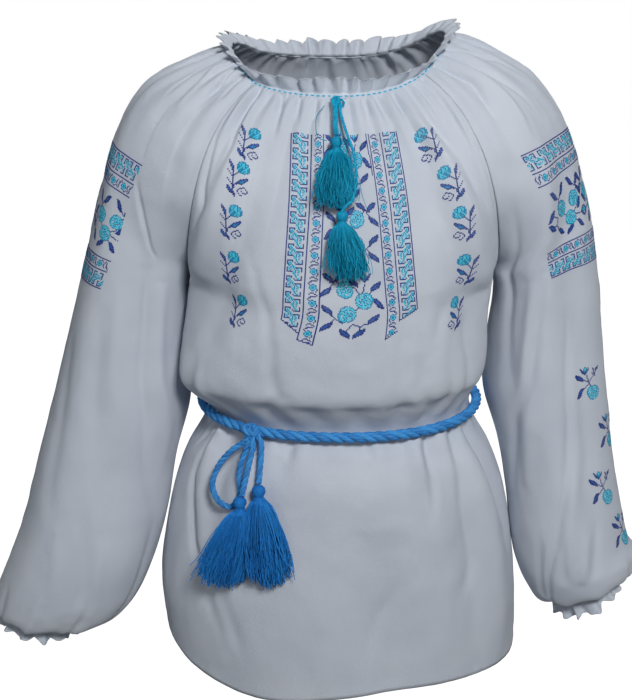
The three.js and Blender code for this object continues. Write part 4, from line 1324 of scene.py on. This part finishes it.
tassels = {
    "belt_tassel_left": {
        "head": (-79, -130, -434), "foot": (-69, -144, -527), "size": 6.6, "spread": 22, "depth": 9,
        "strands": 620, "strand": 0.46, "yarn": tasselYarn, "seed": 11,
    },
    "belt_tassel_right": {
        "head": (-98, -131, -446), "foot": (-116, -134, -534), "size": 6.6, "spread": 25, "depth": 9,
        "strands": 620, "strand": 0.46, "yarn": tasselYarn, "seed": 23,
    },
    "neck_tassel_upper": {
        "head": (-3, -111, -91), "foot": (-4, -136, -146), "size": 5.6, "spread": 17, "depth": 6,
        "strands": 540, "strand": 0.32, "yarn": drawstringYarn, "seed": 35,
    },
    "neck_tassel_lower": {
        "head": (2, -141, -155), "foot": (9, -152, -210), "size": 5.4, "spread": 17, "depth": 7,
        "strands": 540, "strand": 0.32, "yarn": drawstringYarn, "seed": 47,
    },
}
headProfile = [
    (0, 1), (0.6, 0.85), (0.98, 0.35), (0.95, -0.3), (0.72, -0.75), (0.9, -1.2), (1.12, -1.75), (0.3, -1.9),
]


def woundHead(name, look):  # a head bound round with thread, ridged in a slow helix
    profile = centripetal([(r, 0, z) for r, z in headProfile], 56)
    around = 40
    angle = np.arange(around) / around * 2 * math.pi
    r, z = profile[:, 0], profile[:, 2]
    ridge = 1 + 0.045 * np.sin(z[:, None] * 26 + angle[None] + look["seed"]) * (r[:, None] > 0.2)
    radius = r[:, None] * ridge
    ring = np.stack([radius * np.cos(angle), radius * np.sin(angle), np.repeat(z[:, None], around, 1)], -1)
    points = (ring * look["size"] + look["head"]).reshape(-1, 3)
    faces = []
    for i in range(len(profile) - 1):
        for k in range(around):
            n = (k + 1) % around
            faces.append([i * around + k, (i + 1) * around + k, (i + 1) * around + n, i * around + n])
    faces.append(list(range((len(profile) - 1) * around, len(profile) * around))[::-1])
    return newObject(name, smoothMesh(name, points, faces), look["yarn"])


def buildTassel(node, look):
    head, foot, size = np.array(look["head"], float), np.array(look["foot"], float), look["size"]
    top = head + (0, 0, -1.2 * size)
    down = np.linspace(0, 1, 10)
    bow = np.sin(down * math.pi)[:, None] * (0, -2.0, 0)
    path = top + (foot - top) * down[:, None] + bow
    edges = [(k, k + 1) for k in range(len(down) - 1)]
    strands = runTree(
        node + "_fringe", path, edges, {"down": down, "along": down * 0.05}, fringe,
        {"Strands": look["strands"], "Strand Radius": look["strand"] * mm, "Root": 0.82 * size * mm,
         "Spread": look["spread"] * mm, "Depth": look["depth"] * mm, "Belly": 3.0 * mm, "Curl": 2.1 * mm,
         "Uneven": 0.16 * abs(foot[2] - top[2]) * mm, "Wisps": 15 * mm, "Seed": look["seed"],
         "Material": look["yarn"]},
    )
    piece = joinPieces(node + "_threads", [strands, woundHead(node + "_head", look)])
    standFor(piece, node)
    print(f"{node}: {sum(len(p.vertices) - 2 for p in piece.data.polygons)} triangles")
    return piece


# The drawstring's knot at the casing, and threads that hang loose from it: paths and thicknesses.
neckKnot = {
    "at": (-3, -80.5, -55.5), "turns": 120, "cord": 3.0,
    "loops": [
        (70, 25, (0, 0, 0), 3.1, 0.4), (25, -30, (0.4, -1, -1.6), 2.9, 0.5),
        (88, -8, (3.6, -1, -3), 3.6, 0.3),
    ],
}
looseThreads = [
    ([(-14, -87, -60), (-21, -98, -68), (-22, -112, -80), (-19, -122, -86), (-12, -124, -88)], 1.0),
    ([
        (-2, -113, -78), (4, -122, -87), (9, -130, -97), (8, -138, -107),
        (12, -144, -119), (18, -148, -131),
    ], 1.1),
    ([
        (0, -110, -76), (2, -121, -90), (9, -132, -104), (16, -140, -116),
        (20, -146, -134), (24, -147, -146),
    ], 0.9),
    ([(-9, -122, -95), (-17, -127, -107), (-22, -131, -122), (-26, -133, -138)], 1.1),
    ([(-10, -124, -98), (-19, -128, -112), (-21, -131, -128), (-28, -133, -142)], 0.9),
    ([(-8, -123, -98), (-14, -129, -112), (-20, -132, -126), (-19, -134, -144)], 1.0),
]


def buildNeckKnot():
    at, turns = np.array(neckKnot["at"]), neckKnot["turns"]
    parts = []
    for k, loop in enumerate(neckKnot["loops"]):
        path = knotLoop(*loop) + at
        parts.append(layRope(f"neck_turn_{k}", path, neckKnot["cord"], 3, turns, 1, drawstringYarn, 0.8, 8))
    piece = joinPieces("drawstring_knot", parts)
    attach(piece, "root")


def buildLooseThreads():
    parts = []
    for k, (points, thick) in enumerate(looseThreads):
        path = centripetal(points, 12 * (len(points) - 1))
        parts.append(layRope(f"loose_{k}", path, thick, 2, 420, 0, drawstringYarn, 1.2, 5))
    piece = joinPieces("drawstring_loose_threads", parts)
    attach(piece, "root")


ropes = buildRopes()
buildKnot()
buildNeckKnot()
buildLooseThreads()
tasselPieces = {node: buildTassel(node, look) for node, look in tassels.items()}
print("rope, drawstrings and tassels made")

# Cross stitch. In the charts n is navy, b mid-blue, t turquoise and l light turquoise.
charts = {
    "key": """
        nnnnn..tl...n
        n.l.n..lt.l.n
        nltl..n..tl.n
        ntlt...nnnnnn
        .tt.tl.......
        .l.tltl......
        n.lt.tlnnnnnn
        nlt.l.t.tl..n
        n.lt.l.t.tl.n
        nnnnn.lt.lt.n
        .....tlt.tl..
        .....ltl..l..
        ......lt.t...""",
    "scroll": """
        ..nnn...
        .n...nn.
        .......n
        ..nnnnn.
        .nn.....
        n.......
        .n.bb...
        ..tlltb.
        .tlttlt.
        .tlttlt.
        ..tllt.n
        ...bb..n
        ......n.""",
    "rose": """
        ....ttt.tt.....
        ..ttlllt.ltt...
        .tlllttlll.tt..
        .tll.t.tlllt.t.
        ttl.tltt.lltlt.
        tll.lllltt.lllt
        tlt.lttllt.tllt
        ttltll.ttlttll.
        .tll.tltllt.ltt
        .ttltt.lll.tll.
        ..tllltt.ttllt.
        ..t.llllllllt..
        ...ttt.llltt...
        .....ttt.t.....""",
    "leaf": """
        nn.......
        nnnn.....
        nnbnnn...
        .nnbbnn..
        .nnnbbnn.
        ..nnnbbnn
        ....nnnbn
        ......nnn
        ........n""",
    "bud": """
        n....tt...
        nn..tllt.n
        .nn.tllt.n
        .nbnttltnn
        ..nbbttbn.
        ..nnnbbn..
        ....nnn...
        .....n....""",
    "twig": """
        nn.....n.
        .nnn..nn.
        .nnnn.n..
        ...nn.n..
        ....n.n.n
        .....nn.n
        .....nnn.
        .....n...
        .....n...""",
    "sprig": """
        ..........tttt......
        ........ttltlttt....
        .n......tltlltlt....
        .nn....ttltllttlt...
        .nnn...tttltltltt...
        ..nbn..ttltttlltt...
        ..nbn..tltttltltt...
        ...nn...tttltltt....
        ...nn...nttttt......
        n...n..n............
        .n..n.n.............
        ..n.nn........nn....
        ...nn.......nnbn....
        ....n.....nnbbn.....
        ....n....nbttn......
        n...n...nbttn.......
        .n..n..nnnnn........
        ..n.n.nn............
        ...nnn......nn......
        ....nn....nn..n.....
        nn..nn...n.....n....
        nbn.n...n..n...n....
        nbbnn...n...nnn.....
        .nnbnn...n..........
        ..nnnnn...nn........
        .....nn.............
        ......n.............""",
}
# Motifs built from the charts: lines of single stitches, then stamps as chart, column, row, quarter
# turns and mirroring. Columns and rows are those of the stamp's middle.
motifs = {
    "bouquet": {
        "size": (54, 58),
        "lines": [
            [(18, 24), (23, 29), (29, 36), (34, 41), (40, 37), (45, 33)],
            [(14, 18), (10, 14)], [(14, 20), (9, 24), (7, 25)], [(18, 16), (16, 9)], [(21, 16), (25, 11)],
            [(38, 8), (40, 5), (38, 2)], [(40, 5), (45, 7)], [(40, 5), (45, 11), (47, 13)],
            [(26, 42), (20, 44), (14, 41)], [(20, 44), (20, 48)], [(26, 42), (30, 47)], [(40, 37), (44, 42)],
        ],
        "stamps": [
            ("leaf", 7, 11, 0, False), ("leaf", 6, 25, 1, False), ("bud", 16, 4, 0, False),
            ("leaf", 26, 7, 0, True), ("leaf", 36, 2, 0, False), ("leaf", 47, 3, 0, True),
            ("leaf", 48, 15, 0, False), ("leaf", 10, 38, 0, False), ("leaf", 20, 50, 0, False),
            ("leaf", 31, 50, 0, True), ("leaf", 47, 30, 0, True), ("leaf", 46, 44, 0, False),
            ("rose", 17, 23, 0, False), ("rose", 33, 13, 1, False), ("rose", 31, 34, 2, False),
        ],
    },
    "smallBouquet": {
        "size": (30, 40),
        "lines": [
            [(18, 22), (15, 17), (14, 10)], [(15, 17), (9, 13)], [(15, 19), (7, 24)], [(16, 17), (22, 11)],
        ],
        "stamps": [
            ("bud", 12, 6, 0, False), ("leaf", 5, 11, 0, False), ("leaf", 5, 26, 1, False),
            ("twig", 24, 9, 0, True), ("rose", 20, 29, 0, False),
        ],
    },
}
stitch = {
    "pitch": 1.15, "sprigPitch": 1.25,
    "bar": 0.6, "reach": 0.475, "under": 0.24, "over": 0.32, "lift": 0.05,
}


def cellsOf(chart):
    rows = [line.strip() for line in charts[chart].strip().splitlines()]
    return np.array([list(row) for row in rows])


def stampOn(cloth, cells, column, row):
    tall, wide = cells.shape
    top, left = row - tall // 2, column - wide // 2
    for i, k in np.argwhere(cells != "."):
        if 0 <= top + i < cloth.shape[0] and 0 <= left + k < cloth.shape[1]:
            cloth[top + i, left + k] = cells[i, k]


def drawLine(cloth, points, letter="n"):
    for (fromColumn, fromRow), (toColumn, toRow) in zip(points[:-1], points[1:]):
        count = max(abs(toColumn - fromColumn), abs(toRow - fromRow), 1)
        for k in range(count + 1):
            column = round(fromColumn + (toColumn - fromColumn) * k / count)
            row = round(fromRow + (toRow - fromRow) * k / count)
            if 0 <= row < cloth.shape[0] and 0 <= column < cloth.shape[1]:
                cloth[row, column] = letter


def motifOf(name):
    wide, tall = motifs[name]["size"]
    cloth = np.full((tall, wide), ".")
    for line in motifs[name]["lines"]:
        drawLine(cloth, line)
    for chart, column, row, turns, mirrored in motifs[name]["stamps"]:
        cells = np.rot90(cellsOf(chart), turns)
        stampOn(cloth, cells[:, ::-1] if mirrored else cells, column, row)
    return cloth


def repeated(chart, count):  # a chart repeated down a strip of count rows
    cells = cellsOf(chart)
    return np.tile(cells, (count // len(cells) + 1, 1))[:count]


# The front's panel. Each strip has its first and last columns, its chart, the column that the chart
# starts at, whether it is mirrored, and its last rows at its left and right edges.
def chestPanel():
    rows, columns = 176, 113
    cloth = np.full((rows, columns), ".")
    strips = [
        (0, 17, "key", 2, False, 154, 165), (17, 29, "scroll", 20, False, 170, 174),
        (83, 95, "scroll", 85, True, 170, 163), (95, 112, "key", 98, True, 155, 146),
    ]
    for first, last, chart, start, mirrored, leftEnd, rightEnd in strips:
        cells = repeated(chart, rows)
        cells = cells[:, ::-1] if mirrored else cells
        cloth[:, start : start + cells.shape[1]] = cells
        for column in range(first, last + 1):
            share = (column - first) / (last - first)
            end = round(leftEnd + (rightEnd - leftEnd) * share)
            cloth[end:, column] = "."
        drawLine(cloth, [(first, 0), (first, leftEnd)])
        drawLine(cloth, [(last, 0), (last, rightEnd)])
        drawLine(cloth, [(first, leftEnd), (last, rightEnd)])
    drawLine(cloth, [(80, 0), (81, 34)])
    bouquet = motifOf("bouquet")
    for k, row in enumerate((28, 86, 143)):
        stampOn(cloth, bouquet if k % 2 else bouquet[:, ::-1], 56, row)
    return cloth


bandRows = 122
bandTop = 158.5  # v of a band's first row at its centre


def sleeveBand(columns):  # key, scroll, bouquets, scroll and key
    cloth = np.full((bandRows, columns), ".")
    for top, chart in ((2, "key"), (107, "key"), (19, "scroll"), (95, "scroll")):
        cells = repeated(chart, columns).T
        cells = cells[::-1] if top > 60 else cells
        cloth[top : top + len(cells)] = cells
    for row in (0, 17, 28, 93, 104, 121):
        cloth[row] = "n"
    bouquet = motifOf("bouquet")[:, ::-1].T
    for k in range(math.ceil(columns / 58)):
        stampOn(cloth, bouquet if k % 2 else bouquet[:, ::-1], 28 + 56 * k, 61)
    return cloth


# Positions, normals and the direction across at u millimetres across from a panel's middle column
# and v millimetres down it.
def placesOn(name, u, v):
    panel = panels[name]
    plain, grid, normals = panel["plain"], panel["grid"], panel["normals"]
    rows, columns = plain.shape[:2]
    middle = columns // 2
    down = np.concatenate([[0], np.cumsum(np.linalg.norm(np.diff(plain[:, middle], axis=0), axis=1))])
    across = np.cumsum(np.linalg.norm(np.diff(plain, axis=1), axis=2), axis=1)
    across = np.concatenate([np.zeros((rows, 1)), across], 1)
    across -= across[:, middle : middle + 1]
    reach, fine = 180, 2  # u to either side of the middle, and readings in a unit of it
    even = np.linspace(-reach, reach, 2 * reach * fine + 1)
    columnAt = np.array([np.interp(even, line, np.arange(columns)) for line in across])
    r = np.interp(v, down, np.arange(rows))

    def read(table, row, column):
        i = np.clip(np.floor(row).astype(int), 0, table.shape[0] - 2)
        k = np.clip(np.floor(column).astype(int), 0, table.shape[1] - 2)
        f, g = row - i, column - k
        if table.ndim == 3:
            f, g = f[:, None], g[:, None]
        upper = table[i, k] * (1 - g) + table[i, k + 1] * g
        return upper * (1 - f) + (table[i + 1, k] * (1 - g) + table[i + 1, k + 1] * g) * f

    def at(shift):
        return read(grid, r, read(columnAt, r, (u + shift + reach) * fine))

    return at(0), unit(read(normals, r, read(columnAt, r, (u + reach) * fine))), unit(at(0.5) - at(-0.5))


# Two crossed bars of thread one unit wide, ridged and open below, the second over the first.
def crossStitch():
    points, faces = [], []
    half, reach = stitch["bar"] / 2, stitch["reach"]
    for turn, high in ((1, stitch["under"]), (-1, stitch["over"])):
        along, side = np.array([reach, turn * reach]), np.array([-turn * half, half]) * 0.7071
        start = len(points)
        for end in (-1, 1):
            base = along * end
            points += [(*(base - side), 0), (*(base * 0.8), high), (*(base + side), 0)]
        a = start
        quads = [[a, a + 3, a + 4, a + 1], [a + 1, a + 4, a + 5, a + 2]]
        faces += [f if turn < 0 else f[::-1] for f in quads]
    return points, faces


def stitchObject(name, points, faces):
    mesh = bpy.data.meshes.new(name)
    mesh.from_pydata(points, [], faces)
    mesh.update()
    piece = newObject(name, mesh)
    piece.hide_render = True
    return piece


# Stitches on a panel from runs of letters, u, v, widths and heights, as one object.
def sew(name, runs, prototype, material, label):
    letters = np.concatenate([run[0] for run in runs])
    u, v, wide, tall = (np.concatenate([run[k] for run in runs]) for k in (1, 2, 3, 4))
    at, normal, run = placesOn(name, u, v)
    thread = [(threadOrder.index(letter) + 0.5) / len(threadOrder) for letter in letters]
    size = np.stack([wide, tall, np.ones_like(wide)], -1) * mm
    piece = runTree(
        label, at + normal * stitch["lift"], [],
        {"normal": normal, "run": run, "size": size, "thread": thread},
        stitches, {"Stitch": prototype, "Material": material},
    )
    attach(piece, "root")
    print(f"{label}: {len(letters)} stitches, {len(piece.data.polygons)} faces")
    return piece


def runOf(cells, uAt, vAt):  # the stitches of a cloth of cells, with u and v read at their middles
    i, k = np.nonzero(cells != ".")
    u, v = uAt(k + 0.5, i + 0.5), vAt(k + 0.5, i + 0.5)
    wide = uAt(k + 1, i + 0.5) - uAt(k, i + 0.5)
    tall = np.full(len(u), stitch["pitch"])
    return cells[i, k], u, v, np.abs(wide), tall


# The chest panel: columns where its strips meet, their u at its top and foot, its length, and v of its top.
# A scratch script worked out the u at its top, but for the last.
chest = {
    "columns": (0, 18, 30, 83, 96, 113),
    "top": (-47.8, -27.6, -16.6, 24.4, 36.1, 52),
    "foot": (-61, -40, -24.5, 41, 54, 72),
    "length": 183,
    "from": 41,
}


def chestRun():
    pitch, columns = stitch["pitch"], chest["columns"]

    def uAt(column, row):
        share = (pitch * row) / chest["length"]
        top, foot = np.interp(column, columns, chest["top"]), np.interp(column, columns, chest["foot"])
        return top * (1 - share) + foot * share

    return runOf(chestPanel(), uAt, lambda column, row: chest["from"] + pitch * row)


def motifRun(cells, u, v, pitch, mirrored=False, lean=0.0):
    cells = cells[:, ::-1] if mirrored else cells
    tall, wide = cells.shape
    c, s = math.cos(math.radians(lean)) * pitch, math.sin(math.radians(lean)) * pitch
    letters, us, vs, wides, talls = runOf(
        cells,
        lambda column, row: u + (column - wide / 2) * c - (row - tall / 2) * s,
        lambda column, row: v + (column - wide / 2) * s + (row - tall / 2) * c,
    )
    return letters, us, vs, wides * 0 + pitch, talls * 0 + pitch


def bandRun(name):  # a sleeve's band, which rises towards its ends, less so at its foot
    band = bands[name]
    topFrom, topTo, lowFrom, lowTo = band["ends"]
    columns = round((topTo - topFrom) / stitch["pitch"])
    centre, soft = band["centre"], 20

    def uAt(column, row):
        start = topFrom + (lowFrom - topFrom) * row / bandRows
        end = topTo + (lowTo - topTo) * row / bandRows
        return start + (end - start) * column / columns

    def vAt(column, row):
        away = np.hypot(uAt(column, row) - centre, soft) - math.hypot(centre, soft)
        return bandTop + band["drop"] * row - band["slope"] * (1 - 0.3 * row / bandRows) * away

    letters, u, v, wide, tall = runOf(sleeveBand(columns), uAt, vAt)
    return letters, u, v, wide, tall * band["drop"] / stitch["pitch"]


# Each band's ends, at its top and at its foot, where its rise turns, its rise and its rows' height.
bands = {
    "left": {"ends": (-107, 96, -101, 96), "centre": 20, "slope": 0.37, "drop": 1.14},
    "right": {"ends": (-100, 86, -100, 71), "centre": -50, "slope": 0.3, "drop": 1.2},
}
# Sprigs: u, v and lean of each one's middle. A scratch script worked out the chest's u and v.
chestSprigs = {
    "left": [(-86.6, 59.6, 8), (-98.4, 93.9, 6), (-107.1, 133.7, 3), (-112.1, 177.1, 0), (-104.9, 218.6, -3)],
    "right": [(79, 61.4, -12), (98, 98.5, -10), (111.5, 135.6, -5), (121.1, 180.9, 0), (117.4, 224.2, 4)],
}
sleeveSprigs = {
    "left": [(-64, 421, 0), (-38, 482, 0), (-61, 539, 0), (-40, 594, 0)],
    "right": [(-58, 424, 0), (-74, 484, 0), (-58, 538, 0), (-74, 594, 0)],
}


def buildStitches():
    prototype = stitchObject("crossStitch", *crossStitch())
    sprig, small = cellsOf("sprig"), motifOf("smallBouquet")
    runs = {"front": [chestRun()], "left": [bandRun("left")], "right": [bandRun("right")]}
    for side, places in chestSprigs.items():
        for u, v, lean in places:
            runs["front"].append(motifRun(sprig, u, v, stitch["sprigPitch"], side == "right", lean))
    for side, places in sleeveSprigs.items():
        for u, v, lean in places:
            runs[side].append(motifRun(small, u, v, stitch["pitch"], False, lean))
    made = {}
    for name, run in runs.items():
        label = panels[name]["node"] + "_embroidery"
        made[name] = sew(name, run, prototype, crossStitchThread, label)
    bpy.data.objects.remove(prototype)
    return made


# Running stitches of the drawstring along the neck's casing: their spacing, length, width and height.
casingStitch = {"spacing": 5.4, "length": 3.3, "width": 1.5, "rise": 0.6, "row": 15, "lift": 0.25}


def runningStitch():  # a bar of thread one unit long and wide, open below, with rounded ends
    points, faces = [], []
    for x, wide, high in ((-0.5, 0.3, 0.1), (-0.32, 0.5, 0.8), (0.32, 0.5, 0.8), (0.5, 0.3, 0.1)):
        points += [(x, -wide, 0), (x, -0.55 * wide, high), (x, 0.55 * wide, high), (x, wide, 0)]
    for k in range(3):
        for m in range(3):
            a = 4 * k + m
            faces.append([a, a + 4, a + 5, a + 1])
    return points, faces


def sewCasing():
    grid = frills["neck_frill"][1]
    line = grid[casingStitch["row"]]
    at = np.concatenate([[0], np.cumsum(np.linalg.norm(np.diff(line, axis=0), axis=1))])
    count = round(at[-1] / casingStitch["spacing"])
    want = (np.arange(count) + 0.5) / count * at[-1]
    normals = gridNormals(grid)[casingStitch["row"]]
    spot, normal = (
        np.stack([np.interp(want, at, table[:, k]) for k in range(3)], -1) for table in (line, normals)
    )
    run = unit(np.stack([np.interp(want + 0.6, at, line[:, k]) for k in range(3)], -1) - spot)
    size = np.array([casingStitch["length"], casingStitch["width"], casingStitch["rise"]]) * mm
    prototype = stitchObject("runningStitch", *runningStitch())
    piece = runTree(
        "casing_stitches", spot + unit(normal) * casingStitch["lift"], [],
        {"normal": unit(normal), "run": run, "size": np.tile(size, (count, 1)), "tone": np.full(count, 0.8)},
        stitches, {"Stitch": prototype, "Material": drawstringYarn},
    )
    bpy.data.objects.remove(prototype)
    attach(piece, "root")
    return piece


embroidery = buildStitches()
casingStitches = sewCasing()
print("embroidery made")


# Free cords: where each leaves the knot or the casing, its far end, its lay and the pieces on it.
freeCords = {
    "belt": {"diameter": belt["diameter"], "far": "object", "stiffness": "medium", "lay": "taut", "on": []},
    "belt_bow": {"far": "object", "stiffness": "medium", "lay": "hanging", "on": []},
    "belt_end_left": {
        "far": "fitting", "stiffness": "medium", "lay": "hanging", "on": ["belt_tassel_left"],
    },
    "belt_end_right": {
        "far": "fitting", "stiffness": "medium", "lay": "hanging", "on": ["belt_tassel_right"],
    },
    "drawstring_upper": {
        "far": "fitting", "stiffness": "limp", "lay": "hanging", "on": ["neck_tassel_upper"],
    },
    "drawstring_lower": {
        "far": "fitting", "stiffness": "limp", "lay": "hanging", "on": ["neck_tassel_lower"],
    },
}


def declareCords():
    for node, look in freeCords.items():
        path = ropes["belt_line"] if node == "belt" else ropes[node + "_line"]
        path, along = evenly(path, 1.5)
        [tuple(point) for point in path * mm]
        [tasselPieces[name] for name in look["on"]]


def declareSheets():
    sewn = {panels[name]["node"]: piece for name, piece in embroidery.items()}
    sewn["neck_frill"] = casingStitches


declareCords()
declareSheets()


# Light, floor and background, in metres and watts.
lamps = {
    "key": {"at": (0.4, -1.7, 0.9), "aim": (0, 0, -0.25), "size": 0.4, "watts": 30},
    "fill": {"at": (-1.9, -1.9, 0.3), "aim": (0, 0, -0.3), "size": 1.6, "watts": 4},
    "back": {"at": (0.4, 2.4, 1.4), "aim": (0, 0, -0.3), "size": 2.4, "watts": 27},
}
floor = {"radius": 6, "height": -1.4, "sides": 64}


def areaLight(name, at, aim, size, watts):
    data = bpy.data.lights.new(name, "AREA")
    data.size = size
    data.energy = watts
    lamp = bpy.data.objects.new(name, data)
    lamp.location = at
    lamp.rotation_euler = (Vector(aim) - Vector(at)).to_track_quat("-Z", "Y").to_euler()
    scene.collection.objects.link(lamp)


def buildStudio():
    scene.view_settings.view_transform = "Standard"
    for name, lamp in lamps.items():
        areaLight(name, **lamp)
    world = bpy.data.worlds.new("studio")
    world.use_nodes = True
    scene.world = world
    tree = world.node_tree
    tree.nodes.clear()
    seen = place(tree, "ShaderNodeBackground", -200, 100)
    seen.inputs["Color"].default_value = (1, 1, 1, 1)
    seen.inputs["Strength"].default_value = 1.0
    lit = place(tree, "ShaderNodeBackground", -200, -100)
    lit.inputs["Color"].default_value = (0.86, 0.93, 1, 1)
    lit.inputs["Strength"].default_value = 0.16
    rays = place(tree, "ShaderNodeLightPath", -400, 300)
    mix, out = place(tree, "ShaderNodeMixShader", 0), place(tree, "ShaderNodeOutputWorld", 200)
    tree.links.new(rays.outputs["Is Camera Ray"], mix.inputs["Fac"])
    tree.links.new(lit.outputs[0], mix.inputs[1])
    tree.links.new(seen.outputs[0], mix.inputs[2])
    tree.links.new(mix.outputs[0], out.inputs["Surface"])
    radius, sides = floor["radius"], floor["sides"]
    angles = np.linspace(0, 2 * math.pi, sides, endpoint=False)
    ring = [(radius * math.cos(a), radius * math.sin(a), floor["height"]) for a in angles]
    mesh = bpy.data.meshes.new("floor")
    mesh.from_pydata(ring, [], [list(range(sides))])
    material, _, shader = newMaterial("floor", 0.9, 0)
    shader.inputs["Base Color"].default_value = (0.3, 0.3, 0.3, 1)
    shader.inputs["Emission Color"].default_value = (1, 1, 1, 1)
    ray = place(material.node_tree, "ShaderNodeLightPath", -300)
    material.node_tree.links.new(ray.outputs["Is Camera Ray"], shader.inputs["Emission Strength"])
    newObject("floor", mesh, material)


buildStudio()
